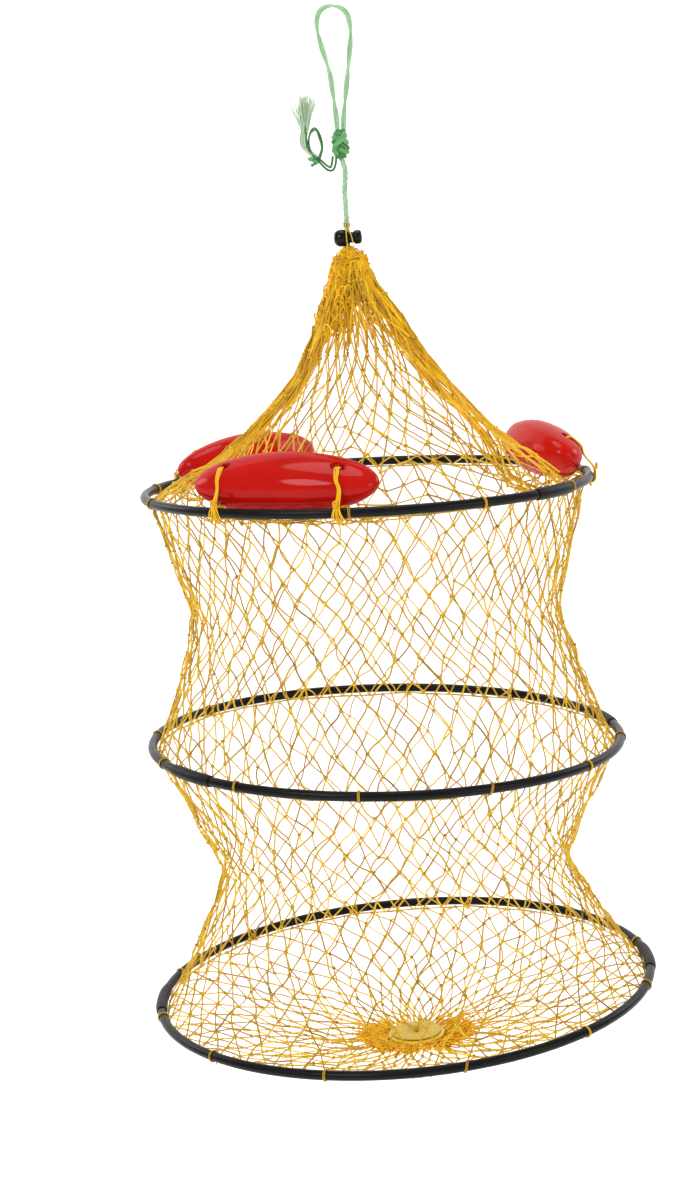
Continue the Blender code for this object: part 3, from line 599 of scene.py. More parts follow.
def add_lacing(ring, materials):
    """The selvage line and the wraps that hang it from the hoop, each with its knot and two cut ends."""
    rng = np.random.default_rng(40 + len(ring.name))
    strands = Strands()
    azimuth = np.arange(0, 360, 1.0)
    line = ring.selvage(azimuth)
    strands.strand(line, SELVAGE_R, 6, 0.6, closed=True)
    second = line + ring.normal * 0.0006 * np.sin(np.radians(azimuth * 23))[:, None]
    second += unit(line - ring.centre) * (0.0009 * np.cos(np.radians(azimuth * 23)))[:, None]
    strands.strand(second, 0.00042, 5, 0.4, closed=True)
    for centre in ring.wraps:
        add_wrap(strands, ring, centre, rng)
    strands.build(f"{ring.name}_lacing_twine", materials["net"], ring.name, "net", [f"{ring.name}_lacing"])


def add_wrap(strands, ring, centre, rng):
    """Two turns of twine round the hoop's tube, with a knot on the selvage and two cut ends."""
    turns = 2.0
    t = np.linspace(0, 2 * np.pi * turns, 40)
    reach = TUBE_R + 0.0005
    lean = rng.normal(0, 0.25)
    azimuth = centre + np.degrees((t / (2 * np.pi) - turns / 2) * 0.001 / ring.radius)
    azimuth = azimuth + lean * np.sin(t)
    start = math.radians(-135)
    line = ring.at(azimuth, -reach * np.cos(t + start), reach * np.sin(t + start))
    strands.strand(line, 0.0005, 6, rng.uniform(0.1, 0.45))
    knot = ring.selvage(np.array([centre]))[0]
    for _ in range(3):
        tilt = rng.normal(0, 0.5, 3)
        a = unit(ring.normal + tilt)
        b = unit(np.cross(a, on_ring(1.0, centre) + 0.3 * tilt))
        strands.knot(knot + rng.normal(0, 0.0003, 3), a, b, 0.0011, 0.0006, 6, 12, rng.uniform(0.3, 0.9))
    for side in (-1, 1):
        end = knot + np.array([side * 0.0014, 0, -0.0032]) + rng.normal(0, 0.0009, 3)
        strands.strand(smooth_route((knot, (knot + end) / 2 + rng.normal(0, 0.0006, 3), end), 0.0008),
                       0.00042, 5, rng.uniform(0.3, 0.9))


# ---------------------------------------------------------------- netting
def soft_noise(rng, rows, columns, passes):
    """Random values that change smoothly down the rows and round the columns, with a spread of 1."""
    values = rng.standard_normal((rows, columns))
    for _ in range(passes):
        values = (values + np.roll(values, 1, 1) + np.roll(values, -1, 1)) / 3
        padded = np.vstack([values[:1], values, values[-1:]])
        values = (padded[:-2] + padded[1:-1] + padded[2:]) / 3
    return values / values.std()


BAR_BULGE = np.array([0.0006, 0.0004, 0.00028, 0.00025])  # a bar's bow across and outwards, then its waves


def add_netting(name, surface, rows, knot_rows, seed, materials, slack, warp=None):
    """Knotted diamond netting on a surface of (share down it, azimuth).

    Knots are tied on the first knot_rows rows, and slack is how far the bars bow and wave.
    """
    rng = np.random.default_rng(seed)
    j = np.arange(rows + 1)[:, None]
    i = np.arange(MESHES)[None]
    fixed = np.minimum(1.0, np.minimum(j, rows - j) / 1.5)
    step = 360 / MESHES
    azimuth = (i + 0.5 * (j % 2)) * step
    azimuth = azimuth + step * fixed * (0.2 * soft_noise(rng, rows + 1, MESHES, 3)
                                        + 0.07 * rng.standard_normal((rows + 1, MESHES)))
    share = (j + fixed * (0.12 * soft_noise(rng, rows + 1, MESHES, 2)
                          + 0.06 * rng.standard_normal((rows + 1, MESHES)))) / rows
    if warp is not None:
        azimuth = warp(azimuth, share)
    knots = surface(share, azimuth)
    middle = surface(np.clip(share + 0.01, 0, 1), azimuth) - surface(np.clip(share - 0.01, 0, 1), azimuth)
    sideways = surface(share, azimuth + 0.5) - surface(share, azimuth - 0.5)
    outward = unit(np.cross(unit(middle), unit(sideways)))
    knots = knots + outward * (fixed * 0.0011 * rng.standard_normal((rows + 1, MESHES)))[..., None]
    strands = Strands()
    t = np.linspace(0, 1, 7)[None, :, None]
    for row in range(rows):
        for lower in ((0, -1) if row % 2 == 0 else (0, 1)):
            a, b = knots[row], np.roll(knots[row + 1], -lower, 0)
            length = np.linalg.norm(b - a, axis=1)
            give = slack * np.clip(length / 0.018, 0.15, 1.2)
            normal = outward[row]
            across = unit(np.cross(unit(b - a), normal))
            bulge = (rng.normal(0, 1, (4, MESHES)) * BAR_BULGE[:, None] * give)[:, :, None, None]
            arch, wave = 4 * t * (1 - t), np.sin(2 * np.pi * t)
            line = a[:, None] + (b - a)[:, None] * t
            line = line + across[:, None] * (arch * bulge[0] + wave * bulge[2])
            line = line + normal[:, None] * (arch * bulge[1] + wave * bulge[3])
            shade = np.clip(rng.normal(0.5, 0.22, MESHES), 0, 1)
            strands.bars(line, normal, TWINE_R * rng.uniform(0.85, 1.15, (MESHES, 1)), 5, shade)
    places, normal, down = (v[:knot_rows].reshape(-1, 3) for v in (knots, outward, unit(middle)))
    count = len(places)
    lean = rng.normal(0, 0.35, (count, 3))
    a = unit(normal + lean)
    b = unit(np.cross(down + 0.5 * rng.normal(0, 0.5, (count, 3)), a))
    reach, radius = rng.uniform(0.0007, 0.00115, count), rng.uniform(0.00062, 0.00082, count)
    strands.loops(places, a, b, reach, radius, 5, 8, np.clip(rng.normal(0.55, 0.2, count), 0, 1))
    net = strands.build(f"{name}_netting", materials["net"])
    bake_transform(net)
    stand_for(net, "net", f"{name}_net")


def bay_surface(above, below, waist):
    """Between two hoops' selvage lines, drawn in to the waist half-way down."""
    def surface(share, azimuth):
        share = np.asarray(share, float)
        share, azimuth = np.broadcast_arrays(share, azimuth)
        top, end = above.selvage(azimuth), below.selvage(azimuth)
        straight = top + (end - top) * share[..., None]
        radius = np.linalg.norm(straight[..., :2], axis=-1, keepdims=True)
        narrowing = 1 - np.abs(np.where(share < 0.47, share / 0.47, (1 - share) / 0.53) - 1) ** 1.12
        narrowing = narrowing[..., None]
        target = radius + (waist - radius) * narrowing
        flat = straight[..., :2] * target / radius
        return np.concatenate([flat, straight[..., 2:]], -1)
    return surface


# The cone's outline as (radius, height over the top hoop): on the left and right, on other free parts,
# and where it passes inside and under a float
CONE_LEFT = np.array((
    (0.011, 0.1745), (0.015, 0.16), (0.0221, 0.1412), (0.0324, 0.1149), (0.041, 0.0938),
    (0.0485, 0.08), (0.0608, 0.07), (0.074, 0.058), (0.0893, 0.0433), (0.106, 0.0311),
    (0.1227, 0.0201), (0.1414, 0.0112), (0.156, 0.004), (0.1671, -0.0042),
))
CONE_RIGHT = np.array((
    (0.011, 0.1745), (0.0178, 0.1583), (0.0268, 0.1465), (0.035, 0.134), (0.05, 0.1112),
    (0.0595, 0.097), (0.0775, 0.0745), (0.1, 0.05), (0.112, 0.04), (0.123, 0.032),
    (0.135, 0.0235), (0.1465, 0.015), (0.157, 0.007), (0.1671, -0.0042),
))
CONE_FREE = np.array((
    (0.011, 0.1745), (0.0165, 0.159), (0.024, 0.139), (0.035, 0.114), (0.046, 0.093),
    (0.056, 0.079), (0.07, 0.066), (0.086, 0.052), (0.104, 0.038), (0.124, 0.025),
    (0.142, 0.0125), (0.152, 0.006), (0.16, 0.0000), (0.1671, -0.0042),
))
CONE_UNDER = np.array((
    *CONE_FREE[:6], (0.069, 0.065), (0.083, 0.05), (0.0975, 0.03), (0.106, 0.012),
    (0.115, -0.005), (0.14, -0.013), (0.1566, -0.01), (0.1671, -0.0042),
))


OUTLINE_STEPS = 59


def even_outline(outline):
    """The outline's points again, at even steps along it."""
    steps = distances(outline)
    share = np.linspace(0, 1, OUTLINE_STEPS + 1)
    return np.stack([np.interp(share, steps / steps[-1], outline[:, k]) for k in (0, 1)], -1)


def near_azimuth(azimuth, centre, width):
    """1 at the centre, falling off smoothly over the width on each side."""
    return np.exp(-(((azimuth - centre + 180) % 360 - 180) / width) ** 2)


def cone_surface(top):
    """From the bunched mouth down to the top hoop's selvage line, inside and under each float."""
    outlines = [even_outline(outline) for outline in (CONE_UNDER, CONE_FREE, CONE_LEFT, CONE_RIGHT)]
    rise = CONE_FREE[0][1]

    def surface(share, azimuth):
        share, azimuth = np.broadcast_arrays(np.asarray(share, float), azimuth)
        nearest = np.min([np.abs((azimuth - f[1] + 180) % 360 - 180) for f in FLOATS], axis=0)
        before_right = (FLOATS[1][1] - azimuth) % 360
        out = np.where(before_right < 60, (before_right - 29.5) / 3.0, (nearest - 29.0) / 9.0).clip(0, 1)
        left, right = near_azimuth(azimuth, -86.0, 30.0), near_azimuth(azimuth, 64.0, 28.0)
        place = np.clip(share, 0, 1) * OUTLINE_STEPS
        under, free, on_left, on_right = (
            [np.interp(place, np.arange(OUTLINE_STEPS + 1), line[:, k]) for k in (0, 1)] for line in outlines
        )
        open_part = [f + (a - f) * left + (b - f) * right for f, a, b in zip(free, on_left, on_right)]
        out = np.maximum(out, np.clip(1 - share / 0.45, 0, 1))  # the part above the floats is free all round
        radius, height = (u + (o - u) * out for u, o in zip(under, open_part))
        pleat = 0.0022 * np.sin(np.radians(7 * azimuth) + 1.3) * np.sin(np.pi * share) ** 2
        points = on_ring(radius + pleat * out, azimuth, top.centre[2] + height)
        slope = -top.normal[0] / top.normal[2] * (1 - height / rise)
        points[..., 2] += slope * points[..., 0]
        line = top.selvage(azimuth)
        pull = np.clip((share - 0.93) / 0.07, 0, 1)[..., None]
        return points + (line - points) * pull
    return surface


def cone_warp(azimuth, share):
    """Draws the meshes together at the cone's left and right, more so towards the mouth."""
    grid = np.linspace(-180, 180, 721)
    crowd = 1.0 + 3.4 * near_azimuth(grid, -80.0, 17.0) + 3.4 * near_azimuth(grid, 65.5, 7.0)
    total = np.r_[0, np.cumsum((crowd[1:] + crowd[:-1]) / 2)]
    total = total / total[-1] * 360 - 180
    wrapped = (azimuth + 180) % 360 - 180
    drawn = np.interp(wrapped, total, grid)
    strength = np.clip((1.0 - share) / 0.28, 0, 1)
    return azimuth + (drawn - wrapped) * strength


def base_surface(bottom, disc_x, floor):
    """From the bottom hoop's selvage line down and in, to just under the base disc's edge."""
    def surface(share, azimuth):
        share, azimuth = np.broadcast_arrays(np.asarray(share, float), azimuth)
        rim = bottom.selvage(azimuth)
        end = on_ring(np.full(azimuth.shape, 0.0222), azimuth, floor)
        end[..., 0] += disc_x
        flat = rim + (end - rim) * share[..., None]
        drop = np.interp(share, (0.0, 0.12, 0.25, 0.5, 0.75, 1.0), (0.0, 0.14, 0.36, 0.68, 0.9, 1.0))
        flat[..., 2] = rim[..., 2] + (floor - rim[..., 2]) * drop
        return flat
    return surface


def add_nets(rings, materials):
    """The cone, the two bays and the base, each on a surface between the parts that it hangs between."""
    top, middle, bottom = rings
    disc_low, disc_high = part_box("base_disc")
    disc = (np.array(disc_low) + np.array(disc_high)) / 2
    add_netting("mouth", cone_surface(top), 13, 13, 21,
                materials, 0.7, cone_warp)
    add_netting("upper", bay_surface(top, middle, UPPER_WAIST), 13, 13, 22,
                materials, 1.2)
    add_netting("lower", bay_surface(middle, bottom, LOWER_WAIST), 13, 13, 23,
                materials, 1.2)
    add_netting("base", base_surface(bottom, disc[0], disc_low.z - 0.001), 11, 12, 24,
                materials, 0.9)
    return disc


# ---------------------------------------------------------------- floats
def float_width(u):
    """A float's half width, so far along it from its middle. float_height gives its half height."""
    return FLOAT_HALF[1] * (1 - abs(u / FLOAT_HALF[0]) ** 2.0) ** (1 / 2.2)


def float_height(u):
    return FLOAT_HALF[2] * (1 - abs(u / FLOAT_HALF[0]) ** 1.7) ** 0.5


def add_float(name, azimuth, radius, height, top, materials):
    """A glossy blown float: loaf-shaped, with a soft ridge, and an oval recess round each tie hole."""
    stations = np.sin(np.linspace(-np.pi / 2, np.pi / 2, 73)) * FLOAT_HALF[0] * 0.9985
    sides = 56
    bm = bmesh.new()
    rings = []
    for u in stations:
        ring = []
        for k in range(sides):
            angle = 2 * math.pi * k / sides
            c, s = math.cos(angle), math.sin(angle)
            across = float_width(u) * math.copysign(abs(c) ** (2 / 2.4), c)
            up = float_height(u) * math.copysign(abs(s) ** (2 / 2.4), s)
            ridge = 1 + 0.02 * math.exp(-(((up / FLOAT_HALF[2] - 0.5) / 0.07) ** 2))
            seam = 1 + 0.01 * math.exp(-((up / FLOAT_HALF[2] / 0.035) ** 2))
            ring.append(bm.verts.new((u, across * ridge * seam, up)))
        rings.append(ring)
    for a, b in zip(rings, rings[1:]):
        for k in range(sides):
            j = (k + 1) % sides
            bm.faces.new((a[k], a[j], b[j], b[k]))
    bm.faces.new(rings[0][::-1])
    bm.faces.new(rings[-1])
    bmesh.ops.recalc_face_normals(bm, faces=bm.faces)
    mesh = bpy.data.meshes.new(name)
    bm.to_mesh(mesh)
    bm.free()
    shell = finish_piece(f"{name}_moulding", mesh, materials["float"], angle=35)
    cutters = []
    level = float_height(FLOAT_HOLE_U)
    for side in (-1, 1):
        place = (side * FLOAT_HOLE_U, -0.001, level + 0.0002)
        cutters.append(oval_cutter(place, (0.0068, 0.0046, 0.003)))
        cutters.append(oval_cutter((side * FLOAT_HOLE_U, 0, 0), (FLOAT_HOLE_R, FLOAT_HOLE_R, 0.0), 0.03))
    for cutter in cutters:
        modifier = shell.modifiers.new("cut", "BOOLEAN")
        modifier.operation = "DIFFERENCE"
        modifier.object = cutter
        modifier.solver = "EXACT"
    bpy.context.view_layer.update()
    cut = bpy.data.meshes.new_from_object(shell.evaluated_get(bpy.context.evaluated_depsgraph_get()))
    shell.modifiers.clear()
    shell.data = cut
    cut.shade_smooth()
    cut.set_sharp_from_angle(angle=math.radians(32))
    for cutter in cutters:
        bpy.data.objects.remove(cutter)
    point = float_place(top, azimuth, radius, height, [0.0], [0.0], [0.0])[0]
    turn = Matrix(np.stack([top.across, top.ahead, top.normal], -1).tolist()).to_4x4()
    turn = Matrix.Translation(point) @ turn @ Matrix.Rotation(math.radians(azimuth), 4, "Z")
    shell.data.transform(turn @ Matrix.Rotation(math.radians(FLOAT_ROLL), 4, "X"))
    shell.data.update()
    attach(shell, "top_hoop")
    stand_for(shell, "float", f"{name}_upper_shell", f"{name}_lower_shell")


def float_place(top, azimuth, radius, height, along, out, up):
    """A point beside a float: so far along the hoop, out from the float's middle and above it, not rolled."""
    way = math.radians(azimuth)
    outward = math.sin(way) * top.across - math.cos(way) * top.ahead
    tangent = math.cos(way) * top.across + math.sin(way) * top.ahead
    reach = (radius + np.asarray(out))[:, None] * outward + np.asarray(along)[:, None] * tangent
    return top.centre + reach + (height + np.asarray(up))[:, None] * top.normal


def oval_cutter(centre, half, depth=0.0):
    """A rounded hollow, or with a depth an upright hole."""
    bm = bmesh.new()
    if depth:
        bmesh.ops.create_cone(bm, cap_ends=True, segments=24, radius1=half[0], radius2=half[0],
                              depth=2 * depth)
    else:
        bmesh.ops.create_uvsphere(bm, u_segments=32, v_segments=16, radius=1.0)
        bmesh.ops.scale(bm, vec=half, verts=bm.verts)
    bmesh.ops.translate(bm, vec=centre, verts=bm.verts)
    mesh = bpy.data.meshes.new("cutter")
    bm.to_mesh(mesh)
    bm.free()
    cutter = bpy.data.objects.new("cutter", mesh)
    bpy.context.scene.collection.objects.link(cutter)
    return cutter


def tie_route(radius, height, tube):
    """Once round a float and the hoop: (out, up, spread) from the float's middle, in the plane across it."""
    cos, sin = math.cos(math.radians(FLOAT_ROLL)), math.sin(math.radians(FLOAT_ROLL))
    level = float_height(FLOAT_HOLE_U)
    over = ((0.0, -0.008, 0.3), (0.0, 0.003, 0.25), (0.0006, level - 0.003, 0.45),
            (0.003, level + 0.0004, 0.9), (0.0085, level - 0.0002, 0.9), (0.0148, 0.0124, 0.6),
            (0.0196, 0.0072, 0.5))
    hoop = ((0.0042, 0.0062, 0.9), (0.005, 0.0012, 1.7), (0.0038, -0.0034, 2.4), (0.0, -0.005, 2.4),
            (-0.0038, -0.0034, 1.8), (-0.005, -0.0006, 1.4), (-0.0058, 0.0018, 1.2), (-0.0088, 0.0041, 1.0))
    under = ((0.0188, -0.0068, 0.8), (0.0164, -0.011, 0.8), (0.0118, -0.015, 0.7), (0.0062, -0.0168, 0.5),
             (0.0016, -level - 0.0012, 0.3), (0.0, -level + 0.002, 0.3))
    flat = [(out * cos + up * sin, up * cos - out * sin, spread) for out, up, spread in over]
    flat += [(tube - radius + out, up - height, spread) for out, up, spread in hoop]
    flat += [(out * cos + up * sin, up * cos - out * sin, spread) for out, up, spread in under]
    return np.array(flat)


def add_float_tie(which, number, side, top, materials, rng):
    """Parallel turns of twine: up through the float, over its outer side, and forking round the hoop."""
    name, azimuth, radius, height = which
    tube = math.sqrt(top.radius**2 - FLOAT_HOLE_U**2)  # the hoop's distance out, level with the holes
    route = tie_route(radius, height, tube)
    lean = TIE_LEAN.get((name, number), 0.0)
    down = np.clip((0.012 - route[:, 1]) / 0.018, 0, 1) * (route[:, 0] > 0.012)
    strands = Strands()
    for k in range(6):
        place = (k - 2.5) / 2.5
        offset = place * 0.0018 * route[:, 2] + rng.normal(0, 0.0002, len(route)) + lean * down
        lift = 0.0003 * ((k % 2) - 0.5)
        points = float_place(top, azimuth, radius, height, side * FLOAT_HOLE_U + offset,
                             route[:, 0] * (1 + lift * 40), route[:, 1] + lift)
        strands.strand(smooth_route(points, 0.0011), 0.0005, 6, rng.uniform(0.2, 0.75))
    for up, out, reach in ((0.0078, 0.0062, 0.0014), (0.006, 0.0066, 0.0012), (-0.0068, 0.0012, 0.0012)):
        along = side * FLOAT_HOLE_U + lean + rng.normal(0, 0.0012)
        point = float_place(top, azimuth, radius, height, [along], [tube - radius + out], [up - height])[0]
        a, b = unit(top.normal + rng.normal(0, 0.25, 3)), unit(on_ring(1.0, azimuth + 90))
        strands.knot(point, a, b, reach, 0.0007, 6, 14, 0.3)
    strands.build(f"{name}_lashing_{number}", materials["bunch"], "top_hoop", "net", [f"{name}_tie_{number}"])


def add_floats(top, materials):
    rng = np.random.default_rng(77)
    for which in FLOATS:
        add_float(*which, top, materials)
        for number, side in ((1, -1), (2, 1)):
            add_float_tie(which, number, side, top, materials, rng)


# ---------------------------------------------------------------- mouth and cord lock
def lathe_piece(name, outline, sides, matrix, material, body, slot, nodes=(), angle=40):
    """Turns an outline of (radius, height) round its axis. A radius of 0 closes an end."""
    bm = bmesh.new()
    rings = []
    for radius, height in outline:
        count = 1 if radius == 0 else sides
        angles = [2 * math.pi * k / sides for k in range(count)]
        rings.append([bm.verts.new((radius * math.cos(a), radius * math.sin(a), height)) for a in angles])
    for a, b in zip(rings, rings[1:]):
        for k in range(sides):
            j = (k + 1) % sides
            corners = [a[k % len(a)], a[j % len(a)], b[j % len(b)], b[k % len(b)]]
            bm.faces.new(list(dict.fromkeys(corners)))
    bmesh.ops.transform(bm, matrix=matrix, verts=bm.verts)
    bmesh.ops.recalc_face_normals(bm, faces=bm.faces)
    mesh = bpy.data.meshes.new(name)
    bm.to_mesh(mesh)
    bm.free()
    return finish_piece(name, mesh, material, body, slot, nodes, angle)


def rounded(outline, steps=4, reach=0.3):
    """The outline with each inner corner turned into a short curve."""
    points = [Vector(p) for p in outline]
    smooth = [points[0]]
    for before, corner, after in zip(points, points[1:], points[2:]):
        start = corner.lerp(before, reach)
        end = corner.lerp(after, reach)
        for k in range(steps + 1):
            t = k / steps
            smooth.append((1 - t) ** 2 * start + 2 * t * (1 - t) * corner + t**2 * end)
    smooth.append(points[-1])
    return [tuple(p) for p in smooth]


def add_cord_lock(materials):
    """The ball-ended barrel and the plunger beside it, both on the rope."""
    low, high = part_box("lock_barrel")
    centre = (low + high) / 2
    along = Matrix.Translation((0, 0, centre.z)) @ Matrix.Rotation(math.radians(90), 4, "Y")
    half = (high.x - low.x) / 2
    ball = [(0, low.x)]
    for angle in range(-80, 61, 10):
        turn = math.radians(angle)
        reach = (high.z - low.z) / 2 * math.cos(turn) ** 0.62
        ball.append((reach, low.x + (half - 0.00125) * (1 + math.sin(turn))))
    lip = high.x - 0.0025
    ball += [(0.0056, lip - 0.0004), (0.005, lip), (0.0045, lip - 0.0003), (0.0045, lip - 0.003),
             (0, lip - 0.003)]
    lathe_piece("lock_barrel_shell", ball, 40, along, materials["lock"], "cord_lock", "lock", ["lock_barrel"])
    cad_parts["lock_spring"].data.materials[0] = materials["steel"]
    low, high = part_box("lock_plunger")
    radius = (high.z - low.z) / 2
    head = lip + 0.0033
    stem = [(0, low.x), (0.0041, low.x), (0.0041, head), (radius * 0.86, head + 0.0001),
            (radius * 0.97, head + 0.0006), (radius, head + 0.0014), (radius, high.x - 0.0022),
            (radius * 0.93, high.x - 0.0011), (radius * 0.74, high.x - 0.0003), (radius * 0.4, high.x),
            (0, high.x)]
    lathe_piece("lock_plunger_shell", stem, 40, along, materials["lock"], "lock_plunger", "lock",
                ["lock_plunger"])


def add_bands(top, materials):
    """The meshes drawn together: thickly down the cone's left, thinly down its right, and under the mouth."""
    rng = np.random.default_rng(5)
    strands = Strands()
    base = top.centre[2]
    surface = cone_surface(top)
    for _ in range(400):
        family = rng.choice(3, p=(0.56, 0.2, 0.24))
        start = (rng.normal(-58, 40), rng.normal(66, 24), rng.uniform(-180, 180))[family]
        end = (rng.normal(-82, 12), rng.normal(64.5, 4), start)[family]
        reach = (rng.gamma(5, 0.082), rng.gamma(5, 0.08), rng.uniform(0.08, 0.24))[family] + 0.08
        reach = min(reach, (0.93, 0.985, 0.93)[family])
        share = np.linspace(0.02, reach, 5 + int(9 * reach))
        drawn = np.clip(share / 0.35, 0, 1)
        stray = np.cumsum(rng.normal(0, 3.5, len(share)))
        azimuth = start + (end - start) * drawn + stray * (1 - 0.7 * drawn)
        inner = rng.uniform(0.4, 1.02) ** 0.5
        points = surface(share, azimuth)
        points[:, :2] *= (inner + (1 - inner) * np.clip(share / 0.5, 0, 1))[:, None]
        points += rng.normal(0, 0.0005, points.shape)
        head = on_ring(np.array([0.0034, 0.0058, 0.0084]) * inner, start,
                       base + np.array([0.1816, 0.1786, 0.1756]))
        strands.strand(smooth_route(np.vstack([head, points]), 0.0028), TWINE_R, 5, rng.uniform(0.1, 0.9))
    for _ in range(230):
        height = rng.triangular(0.112, 0.16, 0.178)
        places = rng.normal(-50, 40), rng.normal(66, 24), rng.uniform(-180, 180)
        azimuth = places[rng.choice(3, p=(0.5, 0.22, 0.28))]
        out = np.interp(height, CONE_FREE[::-1, 1], CONE_FREE[::-1, 0]) * rng.uniform(0.75, 1.04)
        t = round_angles(12)
        size = rng.uniform(0.0016, 0.004)
        loop = on_ring(out + 0.35 * size * np.cos(t + rng.uniform(0, 6)),
                       azimuth + np.degrees(size * np.sin(t) / out), base + height + size * 1.5 * np.cos(t))
        strands.strand(loop, TWINE_R, 5, rng.uniform(0.1, 0.95), closed=True)
    bands = strands.build("mouth_bands", materials["bunch"])
    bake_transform(bands)
    stand_for(bands, "net")


def add_mouth(top, materials):
    """The bunched mouth under the lock, with its curled lump and its drawstring."""
    rng = np.random.default_rng(6)
    strands = Strands()
    base = top.centre[2]
    for _ in range(90):
        azimuth = rng.uniform(0, 360) + np.cumsum(rng.normal(0, 8, 5))
        inner = rng.uniform(0.3, 1.0) ** 0.5
        points = on_ring(np.array([0.0034, 0.006, 0.0086, 0.0112, 0.0136]) * inner, azimuth,
                         base + np.array([0.1816, 0.1784, 0.1745, 0.169, 0.1625]) + rng.normal(0, 0.0006, 5))
        strands.strand(smooth_route(points, 0.0024), TWINE_R, 5, rng.uniform(0.1, 0.9))
    lump = rng.normal(0, 1, (64, 3)) * (0.0022, 0.0026, 0.0034) + (0.0088, -0.003, base + 0.169)
    for point in lump:
        a, b = unit(rng.normal(0, 1, 3)), unit(rng.normal(0, 1, 3))
        b = unit(np.cross(a, b))
        strands.knot(point, a, b, rng.uniform(0.0014, 0.0028), TWINE_R, 5, 10, rng.uniform(0.1, 0.9))
    strands.build("mouth_bunch", materials["bunch"], "hanging_rope", "net", ["mouth_gather"])
    core = [(0, -0.1768), (0.003, -0.1772), (0.0046, -0.18), (0.0066, -0.185), (0.0086, -0.193),
            (0.0098, -0.201), (0.0086, -0.209), (0.005, -0.216), (0, -0.218)]
    crumple(lathe_piece("mouth_bunch_heart", core, 24, Matrix.Identity(4), materials["bunch"], "hanging_rope",
                        "net", angle=80), 0.0012, 160.0)
    string = Strands()
    low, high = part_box("mouth_drawstring")
    level = (low.z + high.z) / 2
    azimuth = np.arange(0, 360, 9.0)
    for shift in (0.0, 0.0011):
        ring = on_ring(0.0116 + 0.0012 * np.sin(np.radians(azimuth * 5)) + shift, azimuth,
                       level - shift + 0.0016 * np.sin(np.radians(azimuth * 3)))
        string.strand(ring, 0.0005, 6, 0.2 + 100 * shift, closed=True)
    string.build("mouth_drawstring_twine", materials["bunch"], "hanging_rope", "net", ["mouth_drawstring"])


def crumple(piece, depth, scale):
    """Pushes the surface in and out by an uneven pattern."""
    noise = np.random.default_rng(3)
    waves = noise.normal(0, 1, (12, 3)) * scale
    phases = noise.uniform(0, 6.28, 12)
    mesh = piece.data
    points = np.array([v.co for v in mesh.vertices], float)
    normals = np.array([v.normal for v in mesh.vertices], float)
    height = np.sin(points @ waves.T + phases).mean(1) * 2.5
    mesh.vertices.foreach_set("co", (points + normals * (height * depth)[:, None]).astype(np.float32).ravel())
    mesh.update()


def add_lock_twine(materials):
    """Thin twine wound on the rope above the lock and led down its front to the mouth."""
    strands = Strands()
    top = LOCK_Z + 0.0098
    t = np.linspace(0, 2 * np.pi * 3, 48)
    rise = top - 0.0019 + 0.0032 * t / t[-1]
    wound = np.stack([0.0003 + 0.0025 * np.sin(t), -0.0025 * np.cos(t), rise], -1)
    strands.strand(wound, 0.00036, 6, 0.2)
    down = ((0.3, -0.0073, 0.0034), (0.6, -0.0078, -0.0012), (0.8, -0.0074, -0.006), (1.0, -0.0066, -0.0104),
            (1.3, -0.0058, -0.014))
    for shift, lean in ((-0.0006, 0.0002), (0.0016, 0.0034)):
        route = [(shift * 0.5, -0.0027, top + 0.0016), (shift, -0.0048, LOCK_Z + 0.0074)]
        route += [(shift + lean * share, y, LOCK_Z + z) for share, y, z in down]
        strands.strand(smooth_route(route, 0.001), 0.00045, 6, 0.7)
    twine = strands.build("lock_tie_strands", materials["net"])
    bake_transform(twine)
    stand_for(twine, "net", "lock_tie_twine")


# ---------------------------------------------------------------- base disc
def add_base(disc, materials):
    """The disc, the plate on it, the knot through both, and the meshes gathered round and under them."""
    low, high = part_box("base_disc")
    place = Matrix.Translation((disc[0], disc[1], 0))
    edge = 0.0007
    outline = [(0, low.z), (DISC_R - 0.003, low.z), (DISC_R, low.z + edge), (DISC_R, high.z - edge),
               (DISC_R - 0.0012, high.z), (DISC_R - 0.004, high.z - 0.0002), (0, high.z - 0.0002)]
    lathe_piece("base_disc_rim", rounded(outline), 72, place, materials["disc"], "base_disc", "disc",
                ["base_disc"])
    low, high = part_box("base_plate")
    radius = (high.x - low.x) / 2
    outline = [(0, low.z), (radius + 0.0015, low.z), (radius + 0.0015, high.z - 0.0004), (radius, high.z),
               (0.0105, high.z), (0.0082, high.z - 0.0005), (0.006, high.z - 0.0011), (0, high.z - 0.0012)]
    lathe_piece("base_plate_dished", rounded(outline), 72, place, materials["plate"], "base_disc", "plate",
                ["base_plate"])
    rng = np.random.default_rng(8)
    add_base_knot(disc, high.z, rng, materials)
    add_base_gather(disc, rng, materials)


def add_base_knot(disc, level, rng, materials):
    """The knot in the plate's middle, and its two ends led back over the disc's far edge."""
    strands = Strands()
    for _ in range(3):
        a, b = unit(rng.normal(0, 1, 3) + (0, 0, 1)), unit(rng.normal(0, 1, 3))
        b = unit(np.cross(a, b))
        strands.knot(np.array([disc[0], disc[1], level + 0.001]), a, b, 0.0016, 0.0008, 6, 14, 0.5)
    for azimuth in (172.0, 206.0):
        far = on_ring(DISC_R + 0.001, azimuth) + (disc[0], 0, 0)
        route = ((disc[0], 0, level + 0.001), (disc[0] * 0.5 + far[0] * 0.5, far[1] * 0.5, level + 0.0011),
                 (far[0], far[1], level + 0.0006), (far[0] * 1.04, far[1] * 1.16, level - 0.0018),
                 (far[0] * 1.06, far[1] * 1.3, level - 0.0042))
        strands.strand(smooth_route(route, 0.0012), 0.0006, 6, 0.7)
    strands.build("base_knot_twine", materials["net"], "base_disc", "net", ["base_knot"])


